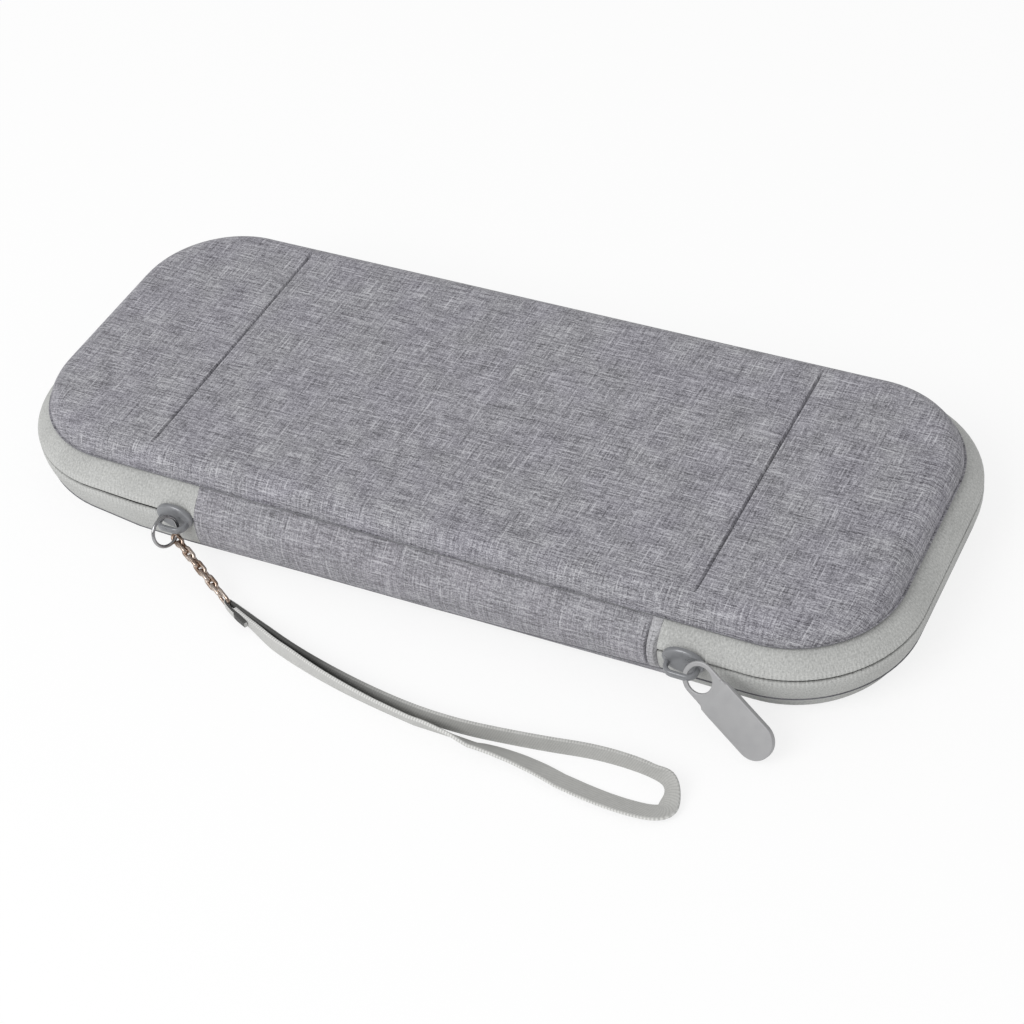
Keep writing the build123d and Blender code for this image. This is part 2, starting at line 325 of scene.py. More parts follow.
@dataclass(frozen=True)
class MelangeCloth:
    """Plain weave of mixed yarns, with sparse pale and dark slubs along both directions."""

    name: str
    dark: Colour
    body: Colour
    pale: Colour
    tint: Colour
    yarn: float = 0.42 * MM
    weft: Streak = Streak(9.0 * MM, 0.62 * MM, 0.72)
    warp: Streak = Streak(0.62 * MM, 8.0 * MM, 0.5)
    fleck: Streak = Streak(1.3 * MM, 0.4 * MM, 0.8)
    grain: Streak = Streak(0.4 * MM, 0.42 * MM, 1.0)
    slubs: tuple[Streak, ...] = (Streak(12.0 * MM, 0.55 * MM, 0.34), Streak(0.5 * MM, 11.0 * MM, 0.34))
    nap: Streak = Streak(9.0 * MM, 9.0 * MM, 0.2)

    def build(self) -> bpy.types.Material:
        """Make the material."""
        bench = NodeBench(self.name)
        parts = []
        for streak in (self.weft, self.warp, self.fleck, self.grain, self.nap):
            marks = bench.noise(bench.place("UV", (1 / streak.length, 1 / streak.width, 1)))
            parts.append((marks, streak.weight))
        start = 0.5 - 0.5 * sum(weight for _, weight in parts)
        for streak in self.slubs:
            marks = bench.noise(bench.place("UV", (1 / streak.length, 1 / streak.width, 1)), 1.0)
            parts.append((bench.span(marks, 0.66, 0.78), streak.weight))
            parts.append((bench.span(marks, 0.33, 0.24), -0.6 * streak.weight))
        tone = bench.weigh(parts, start)
        colour = bench.ramp(tone, ((0.1, self.dark), (0.5, self.body), (0.92, self.pale)))
        shade = bench.span(bench.noise(bench.place("UV", even(2.2 * self.nap.length)), 2.0), 0.35, 0.65)
        bench.join(bench.mix(shade, colour, self.tint, "MULTIPLY"), bench.surface.inputs["Base Color"])
        over = bench.bands(bench.place("UV", (1 / self.yarn, 1 / self.yarn, 1)), "X")
        under = bench.bands(bench.place("UV", (1 / self.yarn, 1 / self.yarn, 1)), "Y")
        weave = bench.arith("ADD", bench.arith("MULTIPLY", over, under), tone)
        bench.bump(weave, 0.05 * MM, 0.55)
        bench.set(Roughness=0.92, Sheen_Weight=0.12, Sheen_Roughness=0.5, Specular_IOR_Level=0.15)
        return bench.material


@dataclass(frozen=True)
class TapeCloth:
    """Close woven zip tape, with a row of fine ribs where the coil is sewn along its edge."""

    name: str
    body: Colour
    shade: Colour
    yarn: float = 0.3 * MM
    rib: float = 1.15 * MM
    rib_band: float = 2.6 * MM
    rib_tone: float = 0.2

    def build(self) -> bpy.types.Material:
        """Make the material."""
        bench = NodeBench(self.name)
        weft = bench.noise(bench.place("UV", (1 / (2.2 * self.yarn), 1 / self.yarn, 1)), 2.0)
        warp = bench.noise(bench.place("UV", (1 / self.yarn, 1 / (2.6 * self.yarn), 1)), 2.0)
        cloud = bench.noise(bench.place("UV", even(14 * MM)), 2.0)
        ribs = bench.bands(bench.place("UV", (1 / self.rib, 1, 1)), "X")
        across = bench.node("ShaderNodeSeparateXYZ")
        bench.join(bench.place("UV", (1, 1, 1)), across.inputs[0])
        edge = bench.span(across.outputs["Y"], self.rib_band, 0.7 * self.rib_band)
        rows = bench.arith("MULTIPLY", ribs, edge)
        tone = bench.weigh(((weft, 0.85), (warp, 0.7), (cloud, 0.25), (rows, self.rib_tone)), -0.4)
        colour = bench.ramp(tone, ((0.2, self.shade), (0.8, self.body)))
        bench.join(colour, bench.surface.inputs["Base Color"])
        twill = bench.bands(bench.place("UV", even(self.yarn * 2), math.radians(32)), "X")
        height = bench.weigh(((twill, 0.6), (weft, 0.8), (warp, 0.6), (rows, 11 * self.rib_tone)), 0.0)
        bench.bump(height, 0.05 * MM, 0.65)
        bench.set(Roughness=0.88, Sheen_Weight=0.08, Specular_IOR_Level=0.2)
        return bench.material


@dataclass(frozen=True)
class BrushedLining:
    """Short brushed pile of the lining, bindings and hems."""

    name: str
    body: Colour
    shade: Colour
    pile: float = 0.5 * MM

    def build(self) -> bpy.types.Material:
        """Make the material."""
        bench = NodeBench(self.name)
        pile = bench.noise(bench.place("Object", even(self.pile)), 3.0, flat=False)
        nap = bench.noise(bench.place("Object", even(self.pile * 30)), 2.0, flat=False)
        tone = bench.weigh(((pile, 0.6), (nap, 0.5)), -0.05)
        colour = bench.ramp(tone, ((0.32, self.shade), (0.68, self.body)))
        bench.join(colour, bench.surface.inputs["Base Color"])
        bench.bump(pile, 0.12 * MM, 0.5)
        bench.set(Roughness=0.95, Sheen_Weight=0.35, Sheen_Roughness=0.4, Specular_IOR_Level=0.1)
        return bench.material


@dataclass(frozen=True)
class SatinPaint:
    """Satin paint over a die-cast piece, with fine orange-peel and a few rubbed marks."""

    name: str
    body: Colour
    shade: Colour
    roughness: float = 0.34
    metal: float = 0.35

    def build(self) -> bpy.types.Material:
        """Make the material."""
        bench = NodeBench(self.name)
        cloud = bench.noise(bench.place("Object", even(2.6 * MM)), 3.0, flat=False)
        peel = bench.noise(bench.place("Object", even(0.35 * MM)), 1.0, flat=False)
        colour = bench.ramp(cloud, ((0.3, self.shade), (0.6, self.body)))
        bench.join(colour, bench.surface.inputs["Base Color"])
        rough = bench.span(cloud, 0.3, 0.7, self.roughness * 0.85, self.roughness * 1.25)
        bench.join(rough, bench.surface.inputs["Roughness"])
        bench.bump(peel, 0.012 * MM, 0.35)
        bench.set(Metallic=self.metal, Specular_IOR_Level=0.5)
        return bench.material


@dataclass(frozen=True)
class PlatedWire:
    """Bright plated wire that is rubbed warm in places."""

    name: str
    bright: Colour
    warm: Colour

    def build(self) -> bpy.types.Material:
        """Make the material."""
        bench = NodeBench(self.name)
        rubbed = bench.noise(bench.place("Object", even(4.0 * MM)), 2.0, flat=False)
        scuff = bench.noise(bench.place("Object", even(0.5 * MM)), 2.0, flat=False)
        colour = bench.mix(bench.span(rubbed, 0.4, 0.62), self.bright, self.warm)
        bench.join(colour, bench.surface.inputs["Base Color"])
        bench.join(bench.span(scuff, 0.3, 0.7, 0.14, 0.3), bench.surface.inputs["Roughness"])
        bench.set(Metallic=1.0)
        return bench.material


@dataclass(frozen=True)
class NylonCoil:
    """Slightly clear nylon of the zip's coils."""

    name: str
    body: Colour

    def build(self) -> bpy.types.Material:
        """Make the material."""
        bench = NodeBench(self.name)
        cloud = bench.noise(bench.place("Object", even(1.2 * MM)), 2.0, flat=False)
        shade = tuple(0.75 * part for part in self.body)
        colour = bench.ramp(cloud, ((0.3, shade), (0.65, self.body)))
        bench.join(colour, bench.surface.inputs["Base Color"])
        bench.set(Roughness=0.42, Specular_IOR_Level=0.45)
        return bench.material


@dataclass(frozen=True)
class RibbedWebbing:
    """One side of narrow flat webbing: slanted ribs, two selvedges, and a painted shade at the strap's start,
    where the legs lie close.

    Attributes:
        name: Name of the material.
        body: Colour of the ribs.
        shade: Colour between the ribs.
        pale: Colour of the selvedges' knots.
        width: Width of the webbing.
        ribs: Weight of the ribs in the tone.
        painted_shade_end: Where along the strap the painted shade at its start fades out, or zero for none.
        pick: Pitch of the ribs.
    """

    name: str
    body: Colour
    shade: Colour
    pale: Colour
    width: float
    ribs: float = 0.3
    painted_shade_end: float = 0.0
    pick: float = 0.62 * MM

    def build(self) -> bpy.types.Material:
        """Make the material."""
        bench = NodeBench(self.name)
        picks = bench.bands(bench.place("UV", even(self.pick), math.radians(28)), "X")
        fibre = bench.noise(bench.place("UV", (1 / (2.2 * MM), 1 / (0.2 * MM), 1)), 2.0)
        cloud = bench.noise(bench.place("UV", even(9 * MM)), 2.0)
        tone = bench.weigh(((picks, self.ribs), (fibre, 0.45), (cloud, 0.25)), 0.15 - 0.5 * self.ribs)
        colour = bench.ramp(tone, ((0.25, self.shade), (0.65, self.body)))
        across = bench.node("ShaderNodeSeparateXYZ")
        bench.join(bench.place("UV", (1, 1, 1)), across.inputs[0])
        side = bench.arith("ABSOLUTE", across.outputs["Y"])
        edge = bench.span(side, 0.42 * self.width, 0.49 * self.width)
        knots = bench.span(bench.bands(bench.place("UV", (1 / (1.3 * self.pick), 1, 1)), "X"), 0.3, 0.7)
        selvedge = bench.arith("MULTIPLY", edge, knots)
        colour = bench.mix(selvedge, colour, self.pale)
        # Painted shade: the strap's start is darkened towards near black, standing in for the shadow between
        # the close legs and on the tail, and it fades out by the given run.
        if self.painted_shade_end:
            start = bench.span(across.outputs["X"], 0.55 * self.painted_shade_end, self.painted_shade_end, 0.9, 0.0)
            colour = bench.mix(start, colour, tuple(0.1 * part for part in self.shade))
        bench.join(colour, bench.surface.inputs["Base Color"])
        height = bench.weigh(((picks, 2.6 * self.ribs), (fibre, 0.5), (selvedge, 0.6)), 0.0)
        bench.bump(height, 0.06 * MM, 0.6)
        bench.set(Roughness=0.85, Sheen_Weight=0.1, Specular_IOR_Level=0.25)
        return bench.material


@dataclass(frozen=True)
class SpunThread:
    """Twisted net yarn."""

    name: str
    body: Colour
    twist: float = 0.5 * MM

    def build(self) -> bpy.types.Material:
        """Make the material."""
        bench = NodeBench(self.name)
        ply = bench.noise(bench.place("Object", even(self.twist)), 2.0, flat=False)
        shade = tuple(0.6 * part for part in self.body)
        bench.join(bench.ramp(ply, ((0.35, shade), (0.6, self.body))), bench.surface.inputs["Base Color"])
        bench.bump(ply, 0.06 * MM, 0.5)
        bench.set(Roughness=0.8, Sheen_Weight=0.1)
        return bench.material


@dataclass(frozen=True)
class Finishes:
    """Every finish of the case, built once."""

    melange: bpy.types.Material
    spine: bpy.types.Material
    hem: bpy.types.Material
    skirt: bpy.types.Material
    lining: bpy.types.Material
    binding: bpy.types.Material
    tape: bpy.types.Material
    coil: bpy.types.Material
    slider: bpy.types.Material
    pull: bpy.types.Material
    ring: bpy.types.Material
    chain: bpy.types.Material
    webbing: bpy.types.Material
    webbing_back: bpy.types.Material
    net: bpy.types.Material

    @classmethod
    def mix(cls, strap_width: float) -> "Finishes":
        """Build the finishes.

        Args:
            strap_width: Width of the wrist strap's webbing.

        Returns:
            The finishes.
        """
        dark, body, pale = (0.10, 0.098, 0.108), (0.272, 0.268, 0.29), (0.52, 0.52, 0.54)
        return cls(
            melange=MelangeCloth("melange_cloth", dark, body, pale, (0.965, 0.955, 0.985)).build(),
            spine=MelangeCloth(
                "spine_cloth", (0.13, 0.128, 0.137), body, (0.48, 0.48, 0.5), (0.98, 0.965, 0.98)
            ).build(),
            hem=MelangeCloth(
                "hem_cloth", (0.2, 0.2, 0.21), (0.38, 0.378, 0.39), pale, (0.98, 0.97, 0.98)
            ).build(),
            skirt=TapeCloth("skirt_cloth", (0.54, 0.545, 0.53), (0.34, 0.343, 0.335), rib_tone=0.0).build(),
            lining=BrushedLining("brushed_lining", (0.17, 0.17, 0.185), (0.10, 0.10, 0.11)).build(),
            binding=BrushedLining("binding_cloth", (0.12, 0.12, 0.13), (0.07, 0.07, 0.08), 0.35 * MM).build(),
            tape=TapeCloth("zip_tape_cloth", (0.54, 0.545, 0.53), (0.34, 0.343, 0.335)).build(),
            # The coil's colour is darkened to near black as painted shade of the deep zip gap; the real coil
            # is grey like the tape.
            coil=NylonCoil("coil_nylon_painted_shade", (0.16, 0.16, 0.158)).build(),
            slider=SatinPaint("slider_paint", (0.25, 0.255, 0.268), (0.22, 0.225, 0.235), 0.3, 0.3).build(),
            pull=SatinPaint("pull_paint", (0.37, 0.37, 0.375), (0.355, 0.355, 0.362), 0.4, 0.2).build(),
            ring=PlatedWire("ring_wire", (0.42, 0.42, 0.43), (0.36, 0.35, 0.35)).build(),
            chain=PlatedWire("plated_wire", (0.62, 0.54, 0.48), (0.36, 0.26, 0.2)).build(),
            webbing=RibbedWebbing(
                "strap_webbing", (0.52, 0.52, 0.505), (0.43, 0.43, 0.42), (0.66, 0.66, 0.645),
                strap_width, 0.1,
            ).build(),
            # The back finish darkens the strap's start as painted shade of the close legs and the tail.
            webbing_back=RibbedWebbing(
                "strap_webbing_back", (0.45, 0.45, 0.435), (0.35, 0.35, 0.338), (0.5, 0.5, 0.485),
                strap_width, 0.26, painted_shade_end=86 * MM,
            ).build(),
            net=SpunThread("net_yarn", (0.11, 0.11, 0.12)).build(),
        )


def ease(share: float) -> float:
    """A share held between 0 and 1, with a soft start and end."""
    held = min(max(share, 0.0), 1.0)
    return held * held * (3 - 2 * held)


def between(keys: Sequence[tuple[float, float]], spot: float) -> float:
    """Read a value off straight stretches between keys.

    Args:
        keys: Places and their values, in order.
        spot: The place to read.

    Returns:
        The value there, or zero outside the keys.
    """
    for (first, low), (last, high) in zip(keys, keys[1:]):
        if first <= spot <= last:
            return low + (high - low) * (spot - first) / (last - first)
    return 0.0


def new_verts(geometry: Sequence[object]) -> list[BMVert]:
    """The vertices among an operator's results."""
    return [item for item in geometry if isinstance(item, BMVert)]


def edges_within(geometry: Sequence[object]) -> list[BMEdge]:
    """The edges among an operator's results that run between its own vertices."""
    verts = set(new_verts(geometry))
    edges = [item for item in geometry if isinstance(item, BMEdge)]
    return [edge for edge in edges if edge.verts[0] in verts and edge.verts[1] in verts]


def grown_from(old: Sequence[BMVert], fresh: Sequence[BMVert]) -> dict[BMVert, BMVert]:
    """Pair each old vertex with the new vertex that an extrude drew out of it.

    Args:
        old: Vertices that were extruded.
        fresh: Vertices that the extrude made.

    Returns:
        The new vertex of each old one.
    """
    known = set(old)
    pairs = {}
    for vert in fresh:
        for edge in vert.link_edges:
            other = edge.other_vert(vert)
            if other in known:
                pairs[other] = vert
    return pairs


def draw_out(bm: BMesh, edges: list[BMEdge], step: Vector, count: int) -> list[BMEdge]:
    """Extrude edges in equal steps.

    Args:
        bm: The mesh.
        edges: Edges to extrude.
        step: Move of each step.
        count: Number of steps.

    Returns:
        The edges at the far end.
    """
    for _ in range(count):
        result = bmesh.ops.extrude_edge_only(bm, edges=edges)["geom"]
        edges = edges_within(result)
        bmesh.ops.translate(bm, verts=new_verts(result), vec=step)
    return edges


def close_ring(bm: BMesh, points: Sequence[Vector]) -> list[BMEdge]:
    """Lay a closed ring of edges through a few points."""
    verts = [bm.verts.new(point) for point in points]
    return [bm.edges.new((first, last)) for first, last in zip(verts, verts[1:] + verts[:1])]


def settle(bm: BMesh, gap: float = 1e-7) -> None:
    """Merge doubles and turn all faces outwards."""
    bmesh.ops.remove_doubles(bm, verts=bm.verts[:], dist=gap)
    bmesh.ops.recalc_face_normals(bm, faces=bm.faces[:])


def lay_uv(bm: BMesh, rule: Callable[[Vector], tuple[float, float]]) -> None:
    """Write the run map of a mesh.

    Args:
        bm: The mesh.
        rule: Gives the two coordinates of a point, in metres.
    """
    layer = bm.loops.layers.uv.verify()
    for face in bm.faces:
        for loop in face.loops:
            loop[layer].uv = rule(loop.vert.co)


def bake(
    bm: BMesh, name: str, materials: Sequence[bpy.types.Material], sharp: float = math.radians(38)
) -> bpy.types.Object:
    """Turn a finished bmesh into an object at the origin.

    Args:
        bm: The mesh, which is freed.
        name: Name of the piece.
        materials: Its materials, in the order of the faces' indices.
        sharp: Edges with a larger angle than this stay sharp.

    Returns:
        The new object.
    """
    bm.normal_update()
    for face in bm.faces:
        face.smooth = True
    for edge in bm.edges:
        edge.smooth = not (edge.is_manifold and edge.calc_face_angle(0.0) > sharp)
    mesh = bpy.data.meshes.new(name)
    bm.to_mesh(mesh)
    bm.free()
    if mesh.uv_layers:
        mesh.uv_layers[0].name = UV_NAME
    for material in materials:
        mesh.materials.append(material)
    made = bpy.data.objects.new(name, mesh)
    bpy.context.scene.collection.objects.link(made)
    LOG.info("%s: %d faces", name, len(mesh.polygons))
    return made


def dress(piece: bpy.types.Object, slot: Slot, *nodes: str) -> bpy.types.Object:
    """Hide the solids that a piece stands for, and return the piece."""
    if nodes:
        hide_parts(*nodes)
    return piece


def settled_on(
    piece: bpy.types.Object, body: Body, slot: Slot, *nodes: str
) -> bpy.types.Object:
    """Let a piece ride on a body, and hide the solids it stands for."""
    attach(piece, body.value)
    return dress(piece, slot, *nodes)


@dataclass(frozen=True)
class Racetrack:
    """A rounded rectangle about a middle, which shells and sweeps follow."""

    half_length: float
    half_width: float
    radius: float

    def inset(self, amount: float) -> "Racetrack":
        """The outline set in by an amount."""
        return Racetrack(self.half_length - amount, self.half_width - amount, self.radius - amount)

    @property
    def straight_x(self) -> float:
        """Half the length of the long straights."""
        return self.half_length - self.radius

    @property
    def straight_y(self) -> float:
        """Half the length of the short straights."""
        return self.half_width - self.radius

    def outward(self, point: Vector) -> Vector:
        """Level direction from the outline's core to a point, or zero within the core.

        Args:
            point: A point.

        Returns:
            The direction.
        """
        beyond_x = math.copysign(max(abs(point.x) - self.straight_x, 0.0), point.x)
        beyond_y = math.copysign(max(abs(point.y) - self.straight_y, 0.0), point.y)
        away = Vector((beyond_x, beyond_y, 0.0))
        return away.normalized() if away.length > 1e-7 else Vector()

    def run(self, point: Vector) -> float:
        """Length along the outline from the middle of the front, anticlockwise from above.

        Args:
            point: A point.

        Returns:
            The run to it.
        """
        sx, sy = self.straight_x, self.straight_y
        quarter = self.radius * math.pi / 2
        x, y = point.x, point.y
        if abs(x) <= sx:
            if y < 0:
                return x if x > 0 else 4 * (sx + sy + quarter) + x
            return 2 * sx + 2 * quarter + 2 * sy - x
        if abs(y) <= sy:
            if x > 0:
                return sx + quarter + sy + y
            return 3 * sx + 3 * quarter + 3 * sy - y
        if x > 0 and y < 0:
            return sx + self.radius * math.atan2(x - sx, -y - sy)
        if x > 0:
            return sx + quarter + 2 * sy + self.radius * math.atan2(y - sy, x - sx)
        if y > 0:
            return 3 * sx + 2 * quarter + 2 * sy + self.radius * math.atan2(-x - sx, y - sy)
        return 3 * sx + 3 * quarter + 4 * sy + self.radius * math.atan2(-y - sy, -x - sx)

    def sweep(
        self, bm: BMesh, edges: list[BMEdge], start: float, end: float, steps: tuple[int, int]
    ) -> list[BMEdge]:
        """Run a section round the outline, from one place on the front to another.

        Args:
            bm: The mesh.
            edges: The section, which stands on the front.
            start: Where the section stands along X.
            end: Where the sweep ends on the front, after one turn.
            steps: Steps on a straight and on a corner.

        Returns:
            The section's edges at the end.
        """
        sx, sy = self.straight_x, self.straight_y
        right, back = Vector((1, 0, 0)), Vector((0, 1, 0))
        headings = (right, back, -right, -back, right)
        lengths = (sx - start, 2 * sy, 2 * sx, 2 * sy, sx + end)
        centres = ((sx, -sy, 0), (sx, sy, 0), (-sx, sy, 0), (-sx, -sy, 0))
        for leg, (heading, length) in enumerate(zip(headings, lengths)):
            if length > 1e-9:
                edges = draw_out(bm, edges, heading * length / steps[0], steps[0])
            if leg == len(centres):
                break
            verts = list({vert for edge in edges for vert in edge.verts})
            turned = bmesh.ops.spin(
                bm, geom=verts + edges, cent=centres[leg], axis=(0, 0, 1), angle=math.pi / 2, steps=steps[1],
            )
            edges = [item for item in turned["geom_last"] if isinstance(item, BMEdge)]
        return edges


def bow(first: Vector, last: Vector, out: Vector, count: int) -> list[Vector]:
    """Points from first to last, bowed sideways by out at the middle.

    Args:
        first: Where the line starts.
        last: Where it ends.
        out: The bow at its middle.
        count: Number of stretches.

    Returns:
        The points.
    """
    points = []
    for number in range(count + 1):
        share = number / count
        points.append(first.lerp(last, share) + out * (4 * share * (1 - share)))
    return points


@dataclass(frozen=True)
class CaseSizes:
    """Sizes that the case's pieces share."""

    outline: Racetrack
    zip_z: float
    top_z: float
    lid_inset: float = 5.0 * MM
    base_inset: float = 1.2 * MM
    lid_rise: float = 6.2 * MM
    base_drop: float = 7.7 * MM
    wall: float = 3.6 * MM
    roof: float = 3.0 * MM
    floor: float = 2.8 * MM
    zip_gap: float = 0.85 * MM
    tape: float = 1.0 * MM
    strip_left: float = -63.1 * MM
    strip_right: float = 76.5 * MM
    end_gap: float = 0.1 * MM
    sag_drop: float = 3.6 * MM
    sag_push: float = 1.3 * MM
    sag_start: float = 34 * MM
    sag_reach: float = 16 * MM
    sag_push_top: float = 0.4
    sag_run: tuple[tuple[float, float], ...] = (
        (-122.0, 0.0), (-100.0, 0.5), (-86.0, 0.95), (-70.0, 1.0),
        (-30.0, 0.76), (10.0, 0.6), (45.0, 0.36), (82.0, 0.0),
    )

    @classmethod
    def read(cls) -> "CaseSizes":
        """Take the case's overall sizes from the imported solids."""
        low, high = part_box("lower_zip_tape")
        corner = 35.4 * MM
        lip = 0.4 * MM
        return cls(Racetrack(high.x, high.y, corner), high.z + lip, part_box("top_shell")[1].z)

    @property
    def lid_rim(self) -> float:
        """Height of the lid's rim."""
        return self.zip_z + self.lid_rise

    @property
    def base_rim(self) -> float:
        """Height of the base's rim."""
        return self.zip_z - self.base_drop

    def sag_at(self, x: float) -> float:
        """Share of the front's sag at a place along the case."""
        return between(self.sag_run, x / MM)

    def sag(self, bm: BMesh) -> None:
        """Let the front below the lid's rim hang down and out, as the soft spine of the real case does.

        Args:
            bm: Mesh of a piece of the band, the spine or the base.
        """
        for vert in bm.verts:
            front = min(max((-vert.co.y - self.sag_start) / self.sag_reach, 0.0), 1.0)
            share = (self.lid_rim - vert.co.z) / (self.lid_rim - self.base_rim)
            share = min(max(share, 0.0), 1.0)
            hang = front * share * self.sag_at(vert.co.x)
            keep = min(vert.co.z / self.base_rim, 1.0)
            vert.co.z -= self.sag_drop * hang * keep
            vert.co.y -= self.sag_push * hang * (self.sag_push_top + (1 - self.sag_push_top) * share)

    def front(self, depth: float, height: float, x: float) -> Vector:
        """A point on the front, by its depth behind the zip line and its height over it."""
        return Vector((x, depth - self.outline.half_width, self.zip_z + height))


@dataclass(frozen=True)
class Dent:
    """A soft hollow or swelling in the lid's laminate.

    Attributes:
        x: Place along the case.
        y: Place across the case.
        reach_x: Spread along the case.
        reach_y: Spread across the case.
        height: Rise at the middle, negative for a hollow.
    """

    x: float
    y: float
    reach_x: float
    reach_y: float
    height: float

    def at(self, x: float, y: float) -> float:
        """Height of the dent at a place."""
        across, along = (x - self.x) / self.reach_x, (y - self.y) / self.reach_y
        return self.height * math.exp(-(across ** 2) - along ** 2)


@dataclass
class MouldedShell:
    """One moulded half: an outer skin of melange cloth and a lined hollow.

    Attributes:
        case: The case's shared sizes.
        finishes: The finishes.
        draft: Lean of the wall in degrees.
        edge: Length that the rounded edge takes from the wall and from the face.
    """

    case: CaseSizes
    finishes: Finishes
    half: Half
    draft: float
    edge: float
    hollow_edge: float
    corner_steps: int = 22
    edge_steps: int = 9
    turn_in: float = 1.1 * MM

    @property
    def rim(self) -> float:
        """Height of the shell's rim."""
        return self.case.lid_rim if self.half is Half.LID else self.case.base_rim

    @property
    def face(self) -> float:
        """Height of the shell's outer face."""
        return self.case.top_z if self.half is Half.LID else 0.0

    @property
    def inset(self) -> float:
        """How far the rim lies inside the zip line."""
        return self.case.lid_inset if self.half is Half.LID else self.case.base_inset

    def skin(self) -> BMesh:
        """Shape the outer skin: a block with round corners, a leaning wall and a soft edge."""
        up = self.half.value
        outline = self.case.outline.inset(self.inset)
        height = abs(self.face - self.rim)
        bm = bmesh.new()
        bmesh.ops.create_cube(bm, size=1.0)
        bmesh.ops.scale(bm, vec=(2 * outline.half_length, 2 * outline.half_width, height), verts=bm.verts[:])
        bmesh.ops.translate(bm, vec=(0, 0, (self.face + self.rim) / 2), verts=bm.verts[:])
        open_side = min(bm.faces, key=lambda face: up * face.calc_center_median().z)
        bmesh.ops.delete(bm, geom=[open_side], context="FACES_ONLY")
        corners = [edge for edge in bm.edges if abs(edge.verts[0].co.z - edge.verts[1].co.z) > height / 2]
        bmesh.ops.bevel(
            bm, geom=corners, offset=outline.radius, offset_type="OFFSET", segments=self.corner_steps,
            profile=0.5, affect="EDGES", material=-1,
        )
        lean = height * math.tan(math.radians(self.draft))
        crown = [vert for vert in bm.verts if abs(vert.co.z - self.face) < 1e-6]
        for vert in crown:
            vert.co -= outline.outward(vert.co) * lean
        ring = [edge for edge in bm.edges if all(abs(vert.co.z - self.face) < 1e-6 for vert in edge.verts)]
        bmesh.ops.bevel(
            bm, geom=ring, offset=self.edge, offset_type="OFFSET", segments=self.edge_steps,
            profile=0.5, affect="EDGES", material=-1,
        )
        return bm

    def line_hollow(self, bm: BMesh) -> None:
        """Turn the rim in and line the hollow behind it.

        Args:
            bm: The outer skin, open at the rim.
        """
        up = self.half.value
        outline = self.case.outline.inset(self.inset)
        ceiling = self.face - up * (self.case.roof if self.half is Half.LID else self.case.floor)
        before = set(bm.faces)
        edges = [edge for edge in bm.edges if edge.is_boundary]
        for vert in {vert for edge in edges for vert in edge.verts}:
            vert.co.z += up * self.turn_in
        spread = self.hollow_edge
        turn = self.turn_in
        rings = [
            (0.1 * turn, self.rim + up * 0.55 * turn),
            (0.35 * turn, self.rim + up * 0.2 * turn),
            (turn, self.rim),
            (self.case.wall, self.rim),
            (self.case.wall, ceiling - up * spread),
        ]
        for number in range(1, 7):
            angle = number / 6 * math.pi / 2
            rings.append(
                (
                    self.case.wall + spread * (1 - math.cos(angle)),
                    ceiling - up * spread * (1 - math.sin(angle)),
                )
            )
        places = {}
        for vert in {vert for edge in edges for vert in edge.verts}:
            places[vert] = (vert.co.copy(), outline.outward(vert.co))
        for inset, level in rings:
            result = bmesh.ops.extrude_edge_only(bm, edges=edges)["geom"]
            fresh = {}
            for old, grown in grown_from(places, new_verts(result)).items():
                fresh[grown] = places[old]
            for vert, (spot, away) in fresh.items():
                vert.co = Vector((spot.x, spot.y, level)) - away * inset
            edges = edges_within(result)
            places = fresh
        bmesh.ops.edgeloop_fill(bm, edges=edges)
        for face in bm.faces:
            if face not in before:
                face.material_index = 1
        bmesh.ops.recalc_face_normals(bm, faces=bm.faces[:])

    def unrolled(self, point: Vector) -> tuple[float, float]:
        """Run map of the cloth: flat on the face, laid out over the edge and down the wall."""
        drop = abs(self.face - point.z)
        away = self.case.outline.inset(self.inset).outward(point)
        return (point.x + away.x * drop, point.y + away.y * drop)


